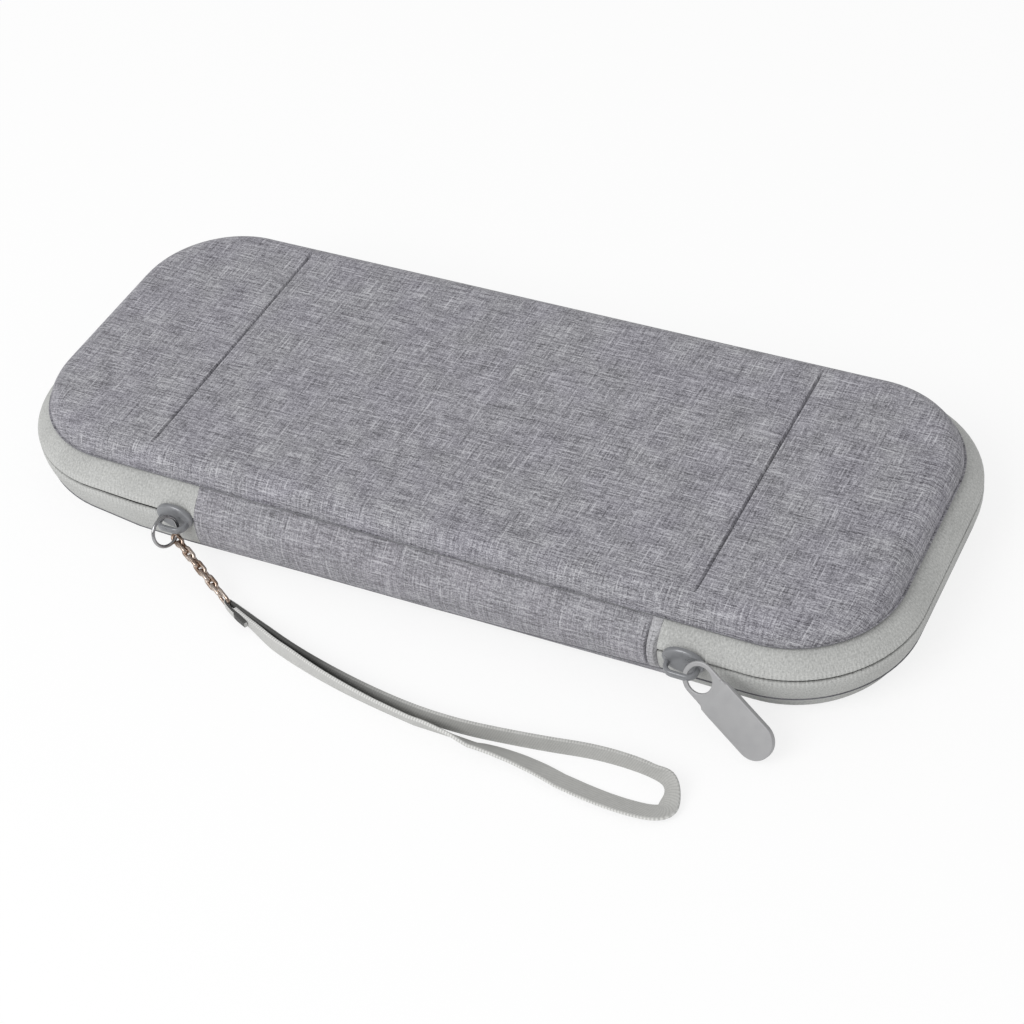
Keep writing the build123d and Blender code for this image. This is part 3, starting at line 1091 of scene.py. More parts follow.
@dataclass
class Lid(MouldedShell):
    """The lid, with two pressed grooves and the soft hollows of its laminate."""

    groove_x: float = 83.0 * MM
    groove_depth: float = 1.1 * MM
    groove_half: float = 0.55 * MM
    shoulder_depth: float = 0.28 * MM
    shoulder_reach: float = 2.6 * MM
    groove_front: float = -46.0 * MM
    groove_back: float = 46.0 * MM
    groove_fade: float = 3.0 * MM
    crease_gap: float = 8.5 * MM
    crease_depth: float = 0.1 * MM
    step: float = 1.7 * MM
    dents: tuple[Dent, ...] = (
        Dent(-105.8 * MM, -14.3 * MM, 7 * MM, 4 * MM, 0.42 * MM),
        Dent(-113.0 * MM, 10.6 * MM, 5 * MM, 6 * MM, 0.36 * MM),
        Dent(-106.0 * MM, 20.5 * MM, 4 * MM, 5 * MM, -0.4 * MM),
        Dent(-98.0 * MM, -1.5 * MM, 4 * MM, 5 * MM, -0.34 * MM),
        Dent(117.0 * MM, 28.3 * MM, 5 * MM, 7 * MM, -0.42 * MM),
        Dent(114.0 * MM, 5.3 * MM, 4 * MM, 8 * MM, -0.36 * MM),
        Dent(106.8 * MM, -1.3 * MM, 5 * MM, 8 * MM, 0.3 * MM),
        Dent(117.0 * MM, -10.0 * MM, 7 * MM, 5 * MM, 0.24 * MM),
    )

    def relief(self, x: float, y: float) -> float:
        """Rise of the lid's face at a place, from grooves, creases and dents.

        Args:
            x: Place along the lid.
            y: Place across it.

        Returns:
            The height to add.
        """
        ends = min((y - self.groove_front) / self.groove_fade, (self.groove_back - y) / self.groove_fade)
        share = min(max(ends, 0.0), 1.0)
        total = sum(dent.at(x, y) for dent in self.dents)
        for side in (-1, 1):
            off = x - side * self.groove_x
            cut = max(0.0, 1.0 - abs(off) / self.groove_half)
            soft = math.exp(-((off / self.shoulder_reach) ** 2))
            total -= share * (self.groove_depth * cut ** 1.3 + self.shoulder_depth * soft)
        crease = x - self.groove_x - self.crease_gap
        total -= share * self.crease_depth * math.exp(-((crease / (1.1 * MM)) ** 2))
        return total

    def cut_lines(self, bm: BMesh, axis: int, places: Sequence[float], flat_only: bool) -> None:
        """Cut the skin along planes, so that the relief has points to move.

        Args:
            bm: The skin.
            axis: 0 to cut across X, 1 to cut across Y.
            places: Where to cut.
            flat_only: True to cut the flat face alone.
        """
        normal = Vector((1, 0, 0)) if axis == 0 else Vector((0, 1, 0))
        for place in places:
            if flat_only:
                faces = [f for f in bm.faces if all(abs(v.co.z - self.face) < 1e-6 for v in f.verts)]
                spans = {f: [v.co[axis] for v in f.verts] for f in faces}
                faces = [f for f in faces if min(spans[f]) < place < max(spans[f])]
                edges = {edge for face in faces for edge in face.edges}
                geometry = faces + list(edges) + list({vert for edge in edges for vert in edge.verts})
            else:
                geometry = bm.faces[:] + bm.edges[:] + bm.verts[:]
            bmesh.ops.bisect_plane(bm, geom=geometry, dist=1e-6, plane_co=normal * place, plane_no=normal)

    def build(self) -> bpy.types.Object:
        """Make the lid and hang it on its body."""
        bm = self.skin()
        outline = self.case.outline.inset(self.inset)
        around = [share * self.groove_half for share in (0.0, 0.35, 0.7, 1.0, 2.0, 3.2)]
        fine = sorted({side * offset for offset in around for side in (-1, 1)})
        grooves = [side * self.groove_x + offset for side in (-1, 1) for offset in fine]
        count = int(outline.straight_x / self.step)
        rows = [number * outline.straight_x / count for number in range(-count + 1, count)]
        clear = 0.4 * self.step
        rows = [x for x in rows if min(abs(abs(x) - self.groove_x - offset) for offset in fine) > clear]
        count = int(outline.straight_y / self.step)
        columns = [number * outline.straight_y / count for number in range(-count + 1, count)]
        self.cut_lines(bm, 0, sorted(rows + grooves), False)
        self.cut_lines(bm, 1, columns, False)
        reach_x = outline.half_length - outline.straight_x - self.edge
        reach_y = outline.half_width - outline.straight_y - self.edge
        outer_x = [outline.straight_x + number * self.step for number in range(int(reach_x / self.step))]
        outer_y = [outline.straight_y + number * self.step for number in range(int(reach_y / self.step))]
        self.cut_lines(bm, 0, [side * x for side in (-1, 1) for x in outer_x], True)
        self.cut_lines(bm, 1, [side * y for side in (-1, 1) for y in outer_y], True)
        for vert in bm.verts:
            over = (vert.co.z - self.rim) / (self.face - self.rim)
            share = min(max((over - 0.55) / 0.4, 0.0), 1.0)
            vert.co.z += share * self.relief(vert.co.x, vert.co.y)
        self.line_hollow(bm)
        lay_uv(bm, self.unrolled)
        lid = bake(bm, "lid_shell", (self.finishes.melange, self.finishes.lining))
        return settled_on(lid, Body.LID, Slot.MELANGE, "top_shell")


@dataclass
class Tray(MouldedShell):
    """The base, drawn in towards the table, with tape cloth on its wall and melange under the spine."""

    def dress_wall(self, bm: BMesh) -> None:
        """Mark the wall's cloth: tape cloth round the zip, melange below the spine."""
        for face in bm.faces:
            middle = face.calc_center_median()
            if face.material_index == 0 and middle.z > 0.6 * MM:
                spine = middle.y < 0 and self.case.strip_left < middle.x < self.case.strip_right
                face.material_index = 2 if spine else 3

    def build(self) -> bpy.types.Object:
        """Make the base and set it on its body."""
        bm = self.skin()
        normal = Vector((1, 0, 0))
        count = 24
        span = self.case.strip_right - self.case.strip_left
        for number in range(-6, count + 1):
            place = normal * (self.case.strip_left + span * number / count)
            bmesh.ops.bisect_plane(
                bm, geom=bm.faces[:] + bm.edges[:] + bm.verts[:], dist=1e-6, plane_co=place, plane_no=normal
            )
        self.line_hollow(bm)
        self.dress_wall(bm)
        lay_uv(bm, self.unrolled)
        self.case.sag(bm)
        finishes = self.finishes
        tray = bake(bm, "base_shell", (finishes.melange, finishes.lining, finishes.spine, finishes.skirt))
        return settled_on(tray, Body.BASE, Slot.MELANGE, "bottom_shell")


@dataclass
class ZipBand:
    """Tapes, coils and bindings that run round the case from one end of the spine to the other."""

    case: CaseSizes
    finishes: Finishes
    lid_bulge: float = 0.9 * MM
    base_bulge: float = 0.5 * MM
    lip: float = 0.3 * MM
    seam_step: float = 0.2 * MM
    seam_dip: float = 0.75 * MM
    coil_depth: float = 2.9 * MM
    coil_radius: float = 0.9 * MM
    coil_gap: float = 0.6 * MM
    coil_pitch: float = 1.35 * MM
    coil_yarn: float = 0.27 * MM
    binding: float = 0.8 * MM
    binding_cover: float = 1.8 * MM
    lid_binding_reach: float = 1.5 * MM
    base_binding_reach: float = 1.5 * MM
    left_trim: float = 2.0 * MM
    steps: tuple[int, int] = (14, 18)

    def measures(self, half: Half) -> tuple[float, float, float, float]:
        """Rise, inset, bulge and binding reach of one half."""
        if half is Half.LID:
            return self.case.lid_rise, self.case.lid_inset, self.lid_bulge, self.lid_binding_reach
        return self.case.base_drop, self.case.base_inset, self.base_bulge, self.base_binding_reach

    def swept(self, section: Sequence[tuple[float, float]]) -> BMesh:
        """Run a closed section of (depth, height) points round the case, with closed ends.

        Args:
            section: Depth and height of its points.

        Returns:
            The mesh.
        """
        start = self.case.strip_right + self.case.end_gap
        end = self.case.strip_left - self.left_trim
        bm = bmesh.new()
        first = close_ring(bm, [self.case.front(depth, height, start) for depth, height in section])
        last = self.case.outline.sweep(bm, first, start, end, self.steps)
        bmesh.ops.edgeloop_fill(bm, edges=first)
        bmesh.ops.edgeloop_fill(bm, edges=last)
        settle(bm)
        return bm

    def tape_section(self, half: Half) -> list[tuple[float, float]]:
        """Section of one tape: a rolled lip, a bowed face and a flange under the shell's rim.

        Args:
            half: The lid's half or the base's.

        Returns:
            Depth and height of its points.
        """
        up = half.value
        rise, inset, bulge, _ = self.measures(half)
        thick = self.case.tape
        edge = self.case.zip_gap / 2
        foot = inset + self.seam_step
        dip = self.seam_dip if half is Half.LID else -0.3 * self.seam_dip
        brow = Vector((foot - 0.3 * dip, rise - dip))
        outer = bow(Vector((self.lip * 0.3, edge + self.lip)), brow, Vector((-bulge, 0)), 9)
        outer.append(Vector((foot + abs(dip), rise - 0.1 * abs(dip))))
        root, rolled = Vector((foot + thick, rise - thick)), Vector((thick, edge + self.lip))
        inner = bow(root, rolled, Vector((-bulge, 0)), 7)
        points = [(point.x, up * point.y) for point in outer]
        points += [(inset + self.case.wall, up * rise), (inset + self.case.wall, up * (rise - thick))]
        points += [(point.x, up * point.y) for point in inner]
        points += [(thick - 0.3 * self.lip, up * (edge + 0.3 * self.lip)), (0.62 * thick, up * edge)]
        points += [(0.4 * thick, up * edge), (0.14 * thick, up * (edge + 0.35 * self.lip))]
        return points

    def along(self, point: Vector) -> tuple[float, float]:
        """Run map of a band: along the zip, and across from the zip line."""
        return self.case.outline.run(point), abs(point.z - self.case.zip_z)

    def build_tape(self, half: Half) -> bpy.types.Object:
        """Make one tape.

        Args:
            half: The lid's half or the base's.

        Returns:
            The tape.
        """
        bm = self.swept(self.tape_section(half))
        lay_uv(bm, self.along)
        self.case.sag(bm)
        if half is Half.BASE:
            tape = bake(bm, "base_zip_tape", (self.finishes.tape,))
            return settled_on(tape, Body.BASE, Slot.TAPE, "lower_zip_tape")
        tape = bake(bm, "lid_zip_tape", (self.finishes.tape,))
        self.open_with_lid(tape)
        return dress(tape, Slot.TAPE, "upper_zip_tape")

    def open_with_lid(self, piece: bpy.types.Object) -> None:
        """Bake a piece's placement into its mesh."""
        start = self.case.front(-0.5 * MM, 0.0, 0.0)
        end = self.case.front(5.0 * MM, 6.5 * MM, 0.0)
        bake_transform(piece)

    def build_coil(self, half: Half) -> bpy.types.Object:
        """Make one coil, as turns of nylon along the inside of its tape.

        Args:
            half: The lid's half or the base's.

        Returns:
            The coil.
        """
        up = half.value
        outline = self.case.outline.inset(self.coil_depth)
        height = self.case.zip_z + up * (self.coil_gap / 2 + self.coil_radius)
        ring = bmesh.new()
        spot = Matrix.Translation((0, self.coil_radius - self.coil_yarn, 0))
        circle = bmesh.ops.create_circle(ring, segments=5, radius=self.coil_yarn, matrix=spot)["verts"]
        edges = list({edge for vert in circle for edge in vert.link_edges})
        bmesh.ops.rotate(ring, verts=circle, cent=(0, self.coil_radius - self.coil_yarn, 0),
                         matrix=Matrix.Rotation(math.pi / 2, 3, "Y"))
        bmesh.ops.spin(ring, geom=circle + edges, cent=(0, 0, 0), axis=(1, 0, 0), angle=2 * math.pi, steps=8,
                       use_merge=True)
        settle(ring)
        turn = bpy.data.meshes.new("coil_turn")
        slant = Matrix.Rotation(math.radians(14), 3, "Z")
        bmesh.ops.rotate(ring, verts=ring.verts[:], cent=(0, 0, 0), matrix=slant)
        ring.to_mesh(turn)
        ring.free()
        bm = bmesh.new()
        for place in self.stations(outline, height):
            count = len(bm.verts)
            bm.from_mesh(turn)
            bm.verts.ensure_lookup_table()
            bmesh.ops.transform(bm, matrix=place, verts=bm.verts[count:])
        bpy.data.meshes.remove(turn)
        name = "lid_zip_coil" if half is Half.LID else "base_zip_coil"
        coil = bake(bm, name, (self.finishes.coil,))
        if half is Half.BASE:
            return settled_on(coil, Body.BASE, Slot.COIL, "lower_zip_coil")
        self.open_with_lid(coil)
        return dress(coil, Slot.COIL, "upper_zip_coil")

    def stations(self, outline: Racetrack, height: float) -> list[Matrix]:
        """Places of the coil's turns along the zip, each turned to the zip's run.

        Args:
            outline: The coil's path.
            height: Its height.

        Returns:
            A place for each turn.
        """
        sx, sy = outline.straight_x, outline.straight_y
        start = self.case.strip_right + self.case.end_gap
        end = self.case.strip_left - self.case.end_gap
        places: list[Matrix] = []
        headings = (0.0, 90.0, 180.0, 270.0, 360.0)
        centres = (Vector((sx, -sy)), Vector((sx, sy)), Vector((-sx, sy)), Vector((-sx, -sy)))
        lengths = (sx - start, 2 * sy, 2 * sx, 2 * sy, sx + end)
        spot = Vector((start, -outline.half_width))
        for leg, (heading, length) in enumerate(zip(headings, lengths)):
            way = Vector((math.cos(math.radians(heading)), math.sin(math.radians(heading))))
            count = max(1, round(length / self.coil_pitch))
            for number in range(count):
                here = spot + way * (length * (number + 0.5) / count)
                places.append(self.station(here, height, heading))
            spot = spot + way * length
            if leg == len(centres):
                break
            count = round(outline.radius * math.pi / 2 / self.coil_pitch)
            for number in range(count):
                angle = 90.0 * (number + 0.5) / count
                arm = Matrix.Rotation(math.radians(angle), 2) @ (spot - centres[leg])
                places.append(self.station(centres[leg] + arm, height, heading + angle))
            spot = centres[leg] + Matrix.Rotation(math.pi / 2, 2) @ (spot - centres[leg])
        return places

    @staticmethod
    def station(spot: Vector, height: float, heading: float) -> Matrix:
        """Place of one turn of a coil."""
        return Matrix.Translation((spot.x, spot.y, height)) @ Matrix.Rotation(math.radians(heading), 4, "Z")

    def build_binding(self, half: Half) -> bpy.types.Object:
        """Make the binding that covers the sewn edge inside one rim.

        Args:
            half: The lid's half or the base's.

        Returns:
            The binding.
        """
        up = half.value
        rise, inset, _, reach = self.measures(half)
        cavity = inset + self.case.wall
        flange = rise - self.case.tape
        thick = self.binding
        soft = 0.3 * thick
        section = [
            (cavity - self.binding_cover, up * flange), (cavity, up * flange), (cavity, up * (rise + reach)),
            (cavity + soft, up * (rise + reach + soft)), (cavity + thick - soft, up * (rise + reach + soft)),
            (cavity + thick, up * (rise + reach)), (cavity + thick, up * (flange - thick + soft)),
            (cavity + thick - soft, up * (flange - thick)),
            (cavity - self.binding_cover, up * (flange - thick)),
        ]
        bm = self.swept(section)
        self.case.sag(bm)
        body, node = (Body.LID, "upper_binding") if half is Half.LID else (Body.BASE, "lower_binding")
        piece = bake(bm, node.replace("upper", "lid").replace("lower", "base"), (self.finishes.binding,))
        return settled_on(piece, body, Slot.LINING, node)

    def build(self) -> list[bpy.types.Object]:
        """Make both tapes, coils and bindings."""
        pieces = []
        for half in Half:
            pieces += [self.build_tape(half), self.build_coil(half), self.build_binding(half)]
        for node in ("right_zip_stop", "left_zip_stop"):
            stop = bpy.data.objects[node]
            stop.data.materials.clear()
            stop.data.materials.append(self.finishes.slider)
        return pieces


@dataclass
class Spine:
    """The fabric strip between the ends of the zip, with a hem at its right end, and its lining."""

    case: CaseSizes
    band: ZipBand
    finishes: Finishes
    thickness: float = 1.3 * MM
    hem_width: float = 3.0 * MM
    hem_rise: float = 0.45 * MM
    fold_width: float = 0.5 * MM
    fold_depth: float = 1.2 * MM
    end_fold: float = 0.8 * MM
    end_round: float = 1.6 * MM
    left_lap: float = 2.2 * MM
    proud: float = 0.22 * MM
    lining: float = 0.8 * MM
    clearance: float = 0.2 * MM

    def section(self) -> list[tuple[float, float, float]]:
        """Section points as depth, height and length along the outer face."""
        lid_foot = self.case.lid_inset + self.band.seam_step
        base_foot = self.case.base_inset
        dip = self.band.seam_dip
        brow = Vector((lid_foot - 0.3 * dip, self.case.lid_rise - dip))
        upper = bow(Vector((0, 0)), brow, Vector((-self.band.lid_bulge, 0)), 9)
        upper.append(Vector((lid_foot + dip, self.case.lid_rise - 0.1 * dip)))
        sole = Vector((base_foot, -self.case.base_drop))
        lower = bow(sole, Vector((0, 0)), Vector((-self.band.base_bulge, 0)), 9)
        outer = lower + upper[1:]
        points = []
        run = 0.0
        for number, point in enumerate(outer):
            if number:
                run += (point - outer[number - 1]).length
            points.append((point.x, point.y, run))
        return points

    def swell(self, x: float) -> float:
        """How far the strip's face stands out at a place along it.

        Args:
            x: Place along the strip.

        Returns:
            The height over the tapes' face.
        """
        hem_left = self.case.strip_right - self.hem_width
        total = self.proud
        if x > hem_left:
            total += self.hem_rise
        for spot, reach in ((hem_left, self.fold_width), (self.case.strip_right, self.end_fold)):
            fold = abs(x - spot)
            if fold < reach:
                total -= self.fold_depth * (1 - fold / reach)
        left = (x - self.case.strip_left + self.left_lap) / self.end_round
        if left < 1:
            total -= 0.9 * self.proud * (1 - math.sqrt(max(0.0, 1 - (1 - left) ** 2)))
        return total

    def places(self) -> list[float]:
        """Where the strip is cut along X, close together at its ends and hem."""
        left, right = self.case.strip_left - self.left_lap, self.case.strip_right
        hem_left = right - self.hem_width
        start = [left + self.end_round * share for share in (0.0, 0.12, 0.3, 0.55, 1.0)]
        count = 60
        body = [start[-1] + (hem_left - self.fold_width - start[-1]) * n / count for n in range(1, count + 1)]
        hem = [hem_left - 0.02 * MM, hem_left + 0.02 * MM, hem_left + self.fold_width]
        hem += [hem_left + 0.5 * self.hem_width, right - self.end_fold, right]
        return start + body + hem

    def build_strip(self) -> bpy.types.Object:
        """Make the strip: its outer face drawn along X, then given its thickness."""
        bm = bmesh.new()
        section = self.section()
        places = self.places()
        verts = [bm.verts.new(self.case.front(depth, height, places[0])) for depth, height, _ in section]
        edges = [bm.edges.new(pair) for pair in zip(verts, verts[1:])]
        for before, here in zip(places, places[1:]):
            edges = draw_out(bm, edges, Vector((here - before, 0, 0)), 1)
        runs = {round(height, 6): run for _, height, run in section}
        for vert in bm.verts:
            share = math.sin(math.pi * min(1.0, max(0.0, (vert.co.z - self.case.base_rim) /
                                                    (self.case.lid_rim - self.case.base_rim)))) ** 0.35
            vert.co.y -= self.swell(vert.co.x) * share
        lay_uv(bm, lambda point: (point.x, runs[min(runs, key=lambda h: abs(h - point.z + self.case.zip_z))]))
        bmesh.ops.recalc_face_normals(bm, faces=bm.faces[:])
        if sum(face.normal.y for face in bm.faces) > 0:
            bmesh.ops.reverse_faces(bm, faces=bm.faces[:])
        hem_left = self.case.strip_right - self.hem_width
        for face in bm.faces:
            face.material_index = int(face.calc_center_median().x > hem_left)
        bmesh.ops.solidify(bm, geom=bm.faces[:], thickness=self.thickness * 0.9)
        self.case.sag(bm)
        strip = bake(bm, "spine_strip", (self.finishes.spine, self.finishes.hem))
        self.bend(strip)
        return dress(strip, Slot.MELANGE, "hinge_strip")

    def bend(self, piece: bpy.types.Object) -> None:
        """Bake a piece's placement into its mesh."""
        reach = 2.2 * MM
        self.case.front(0.0, -reach, 0.0)
        self.case.front(0.0, reach, 0.0)
        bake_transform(piece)

    def build_lining(self) -> bpy.types.Object:
        """Make the lining behind the strip."""
        top = self.case.lid_rise - self.case.tape - self.clearance
        bottom = self.case.tape + self.clearance - self.case.base_drop
        lid_depth = self.case.lid_inset + self.case.wall
        base_depth = self.case.base_inset + self.case.wall
        outer = bow(Vector((base_depth, bottom)), Vector((lid_depth, top)), Vector((0.0, 0.0)), 10)
        bm = bmesh.new()
        verts = [bm.verts.new(self.case.front(point.x, point.y, self.case.strip_left)) for point in outer]
        edges = [bm.edges.new(pair) for pair in zip(verts, verts[1:])]
        count = 40
        step = (self.case.strip_right - self.case.strip_left) / count
        draw_out(bm, edges, Vector((step, 0, 0)), count)
        bmesh.ops.recalc_face_normals(bm, faces=bm.faces[:])
        if sum(face.normal.y for face in bm.faces) > 0:
            bmesh.ops.reverse_faces(bm, faces=bm.faces[:])
        bmesh.ops.solidify(bm, geom=bm.faces[:], thickness=self.lining)
        lining = bake(bm, "spine_lining", (self.finishes.lining,))
        self.case.front(0.0, bottom, 0.0)
        self.case.front(0.0, top, 0.0)
        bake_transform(lining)
        return dress(lining, Slot.LINING, "hinge_lining")

    def build(self) -> list[bpy.types.Object]:
        """Make the strip and its lining."""
        return [self.build_strip(), self.build_lining()]


@dataclass
class Slider:
    """A zip slider: a smooth oval blade, the blade behind the coils and the arched bridge for the pull."""

    case: CaseSizes
    finishes: Finishes
    x: float
    name: str
    body: Body
    length: float = 11.8 * MM
    height: float = 8.4 * MM
    blade: float = 1.3 * MM
    clearance: float = 0.3 * MM
    round_edge: float = 0.75 * MM
    root: float = 0.3 * MM
    sink: float = 0.0
    bridge_length: float = 9.6 * MM
    bridge_bar: float = 1.2 * MM
    bridge_width: float = 2.0 * MM
    bridge_gap: float = 2.7 * MM
    bridge_drop: float = 1.3 * MM
    bridge_corner: float = 3.2 * MM
    bridge_round: float = 0.5 * MM
    inner_length: float = 9.0 * MM
    inner_height: float = 5.0 * MM
    inner_blade: float = 1.0 * MM
    inner_depth: float = 4.1 * MM
    inner_round: float = 0.3 * MM
    web_length: float = 4.0 * MM
    web: float = 0.36 * MM

    def oval(self, bm: BMesh, length: float, height: float, back: float, thickness: float) -> BMFace:
        """Stand an oval plate on the front of the case.

        Args:
            bm: The mesh.
            length: Its length along the zip.
            height: Its height.
            back: Depth of its back face behind the zip line.
            thickness: Its thickness, towards the front.

        Returns:
            Its front face.
        """
        disc = bmesh.ops.create_circle(bm, cap_ends=True, segments=40, radius=0.5)["verts"]
        bmesh.ops.scale(bm, vec=(length, height, 1), verts=disc)
        bmesh.ops.rotate(bm, verts=disc, cent=(0, 0, 0), matrix=Matrix.Rotation(math.pi / 2, 3, "X"))
        bmesh.ops.translate(bm, verts=disc, vec=self.case.front(back, -self.sink, self.x))
        cap = next(face for face in disc[0].link_faces)
        result = bmesh.ops.extrude_face_region(bm, geom=[cap])["geom"]
        bmesh.ops.translate(bm, verts=new_verts(result), vec=(0, -thickness, 0))
        return next(item for item in result if isinstance(item, BMFace))

    def rounded(self, bm: BMesh, edges: list[BMEdge], width: float, segments: int = 4) -> None:
        """Round some edges."""
        bmesh.ops.bevel(bm, geom=edges, offset=width, offset_type="OFFSET", segments=segments, profile=0.5,
                        affect="EDGES", material=-1, clamp_overlap=True)

    def build_blades(self) -> BMesh:
        """Make the two blades and the web that joins them."""
        bm = bmesh.new()
        front = self.oval(bm, self.length, self.height, -self.clearance, self.blade)
        self.rounded(bm, list(front.edges), self.round_edge, 6)
        behind = self.inner_depth + self.inner_blade
        back = self.oval(bm, self.inner_length, self.inner_height, behind, self.inner_blade)
        self.rounded(bm, list(back.edges), self.inner_round, 3)
        web = bmesh.ops.create_cube(bm, size=1.0)["verts"]
        deep = self.inner_depth + self.clearance
        bmesh.ops.scale(bm, vec=(self.web_length, deep, self.web), verts=web)
        bmesh.ops.translate(bm, verts=web, vec=self.case.front(deep / 2 - self.clearance, -self.sink, self.x))
        return bm

    def build_bridge(self, bm: BMesh) -> None:
        """Add the arched bridge: a rounded flat bar drawn out, turned, along and back.

        Args:
            bm: The slider's mesh.
        """
        reach = self.bridge_gap + self.bridge_bar / 2
        half = self.bridge_length / 2 - self.bridge_bar / 2
        turn = self.bridge_corner - self.bridge_bar / 2
        foot = self.root - self.clearance - self.blade
        bar = bmesh.ops.create_grid(bm, x_segments=1, y_segments=1, size=0.5)["verts"]
        bmesh.ops.scale(bm, vec=(self.bridge_bar, self.bridge_width, 1), verts=bar)
        bmesh.ops.bevel(bm, geom=bar, offset=self.bridge_round, offset_type="OFFSET", segments=4, profile=0.5,
                        affect="VERTICES", material=-1)
        flat = [f for f in bm.faces if all(abs(v.co.z) < 1e-9 for v in f.verts)]
        verts = list({vert for f in flat for vert in f.verts})
        edges = list({edge for f in flat for edge in f.edges})
        bmesh.ops.rotate(bm, verts=verts, cent=(0, 0, 0), matrix=Matrix.Rotation(math.pi / 2, 3, "X"))
        below = -self.sink - self.bridge_drop
        bmesh.ops.translate(bm, verts=verts, vec=self.case.front(foot, below, self.x - half))
        bmesh.ops.delete(bm, geom=flat, context="FACES_ONLY")
        leg = reach - turn + self.root
        edges = draw_out(bm, edges, Vector((0, -leg, 0)), 1)
        for side, heading in ((-1, Vector((1, 0, 0))), (1, Vector((0, 1, 0)))):
            centre = self.case.front(foot - leg, 0, self.x + side * (half - turn))
            loop = list({vert for edge in edges for vert in edge.verts})
            turned = bmesh.ops.spin(
                bm, geom=loop + edges, cent=centre, axis=(0, 0, 1), angle=math.pi / 2, steps=10
            )
            edges = [item for item in turned["geom_last"] if isinstance(item, BMEdge)]
            edges = draw_out(bm, edges, heading * (2 * (half - turn) if side < 0 else leg), 1)

    def build(self) -> bpy.types.Object:
        """Make the slider and set it on its body."""
        bm = self.build_blades()
        self.build_bridge(bm)
        settle(bm)
        slider = bake(bm, f"{self.name}_body", (self.finishes.slider,))
        return settled_on(slider, self.body, Slot.SLIDER, self.name)


def standing(centre: Vector, along: Vector, face: Vector) -> Matrix:
    """Place of a flat piece, by its middle, its long direction and its face.

    Args:
        centre: The middle.
        along: Direction of the piece's own X.
        face: Direction of the piece's own Z, squared up to along.

    Returns:
        The placing matrix.
    """
    x = along.normalized()
    z = (face - x * face.dot(x)).normalized()
    y = z.cross(x)
    turn = Matrix((x, y, z)).transposed().to_4x4()
    return Matrix.Translation(centre) @ turn


@dataclass
class PullTab:
    """The flat pull: an eye threaded on the bridge and a rounded paddle."""

    case: CaseSizes
    finishes: Finishes
    slider_x: float
    eye_offset: Vector = field(default_factory=lambda: Vector((6.2, -4.75, -0.6)) * MM)
    along: Vector = field(default_factory=lambda: Vector((0.846, -0.328, -0.420)))
    face: Vector = field(default_factory=lambda: Vector((-0.110, -0.880, 0.465)))
    eye_radius: float = 4.9 * MM
    hole_radius: float = 3.6 * MM
    eye_thickness: float = 0.9 * MM
    reach: float = 25.7 * MM
    width: float = 10.8 * MM
    thickness: float = 1.7 * MM
    shoulder: float = 5.6 * MM
    slope: float = 0.9 * MM
    shoulder_round: float = 0.3 * MM
    edge: float = 0.3 * MM

    def outline(self, bm: BMesh) -> list[BMEdge]:
        """Draw the pull's outline: a round eye, two small shoulders and a paddle with a round tip.

        Args:
            bm: The mesh.

        Returns:
            The outline's edges.
        """
        half = self.width / 2
        side = [
            (-self.eye_radius, self.eye_radius, 0.98 * self.eye_radius, 14),
            (self.shoulder - self.slope, self.eye_radius, self.shoulder_round, 2),
            (self.shoulder, half, self.shoulder_round, 2),
            (self.reach, half, 0.98 * half, 14),
        ]
        corners = side + [(x, -y, offset, steps) for x, y, offset, steps in reversed(side)]
        close_ring(bm, [Vector((x, y, 0)) for x, y, _, _ in corners])
        bm.verts.ensure_lookup_table()
        for vert, (_, _, offset, steps) in zip(bm.verts[:], corners):
            bmesh.ops.bevel(bm, geom=[vert], offset=offset, offset_type="OFFSET", segments=steps, profile=0.5,
                            affect="VERTICES", material=-1)
        return bm.edges[:]

    def half_thickness(self, x: float) -> float:
        """Half the plate's thickness, which grows from the eye to the paddle."""
        share = ease((x - 0.5 * self.shoulder) / (0.9 * self.shoulder))
        return 0.5 * (self.eye_thickness + (self.thickness - self.eye_thickness) * share)

    def plate(self) -> BMesh:
        """Make the pull as one plate with a round hole and eased edges."""
        bm = bmesh.new()
        rim = self.outline(bm)
        hole = bmesh.ops.create_circle(bm, segments=48, radius=self.hole_radius)["verts"]
        loops = rim + list({edge for vert in hole for edge in vert.link_edges})
        bmesh.ops.triangle_fill(bm, edges=loops, use_beauty=True)
        normal = Vector((1, 0, 0))
        for number in range(1, 12):
            place = normal * (0.5 + 0.15 * number) * self.shoulder * 0.9
            geometry = bm.faces[:] + bm.edges[:] + bm.verts[:]
            bmesh.ops.bisect_plane(bm, geom=geometry, dist=1e-7, plane_co=place, plane_no=normal)
        grown = new_verts(bmesh.ops.extrude_face_region(bm, geom=bm.faces[:])["geom"])
        upper = set(grown)
        for vert in bm.verts:
            vert.co.z = self.half_thickness(vert.co.x) * (1 if vert in upper else -1)
        bmesh.ops.recalc_face_normals(bm, faces=bm.faces[:])
        crisp = [edge for edge in bm.edges if edge.is_manifold and edge.calc_face_angle(0.0) > 1.2]
        bmesh.ops.bevel(bm, geom=crisp, offset=self.edge, offset_type="OFFSET", segments=4, profile=0.5,
                        affect="EDGES", material=-1)
        return bm

    def build(self) -> bpy.types.Object:
        """Make the pull and hang it on its body."""
        bm = self.plate()
        settle(bm)
        centre = self.case.front(0, 0, self.slider_x) + self.eye_offset
        bmesh.ops.transform(bm, matrix=standing(centre, self.along, self.face), verts=bm.verts[:])
        tab = bake(bm, "pull_tab_plate", (self.finishes.pull,))
        return settled_on(tab, Body.PULL, Slot.SLIDER, "pull_tab")


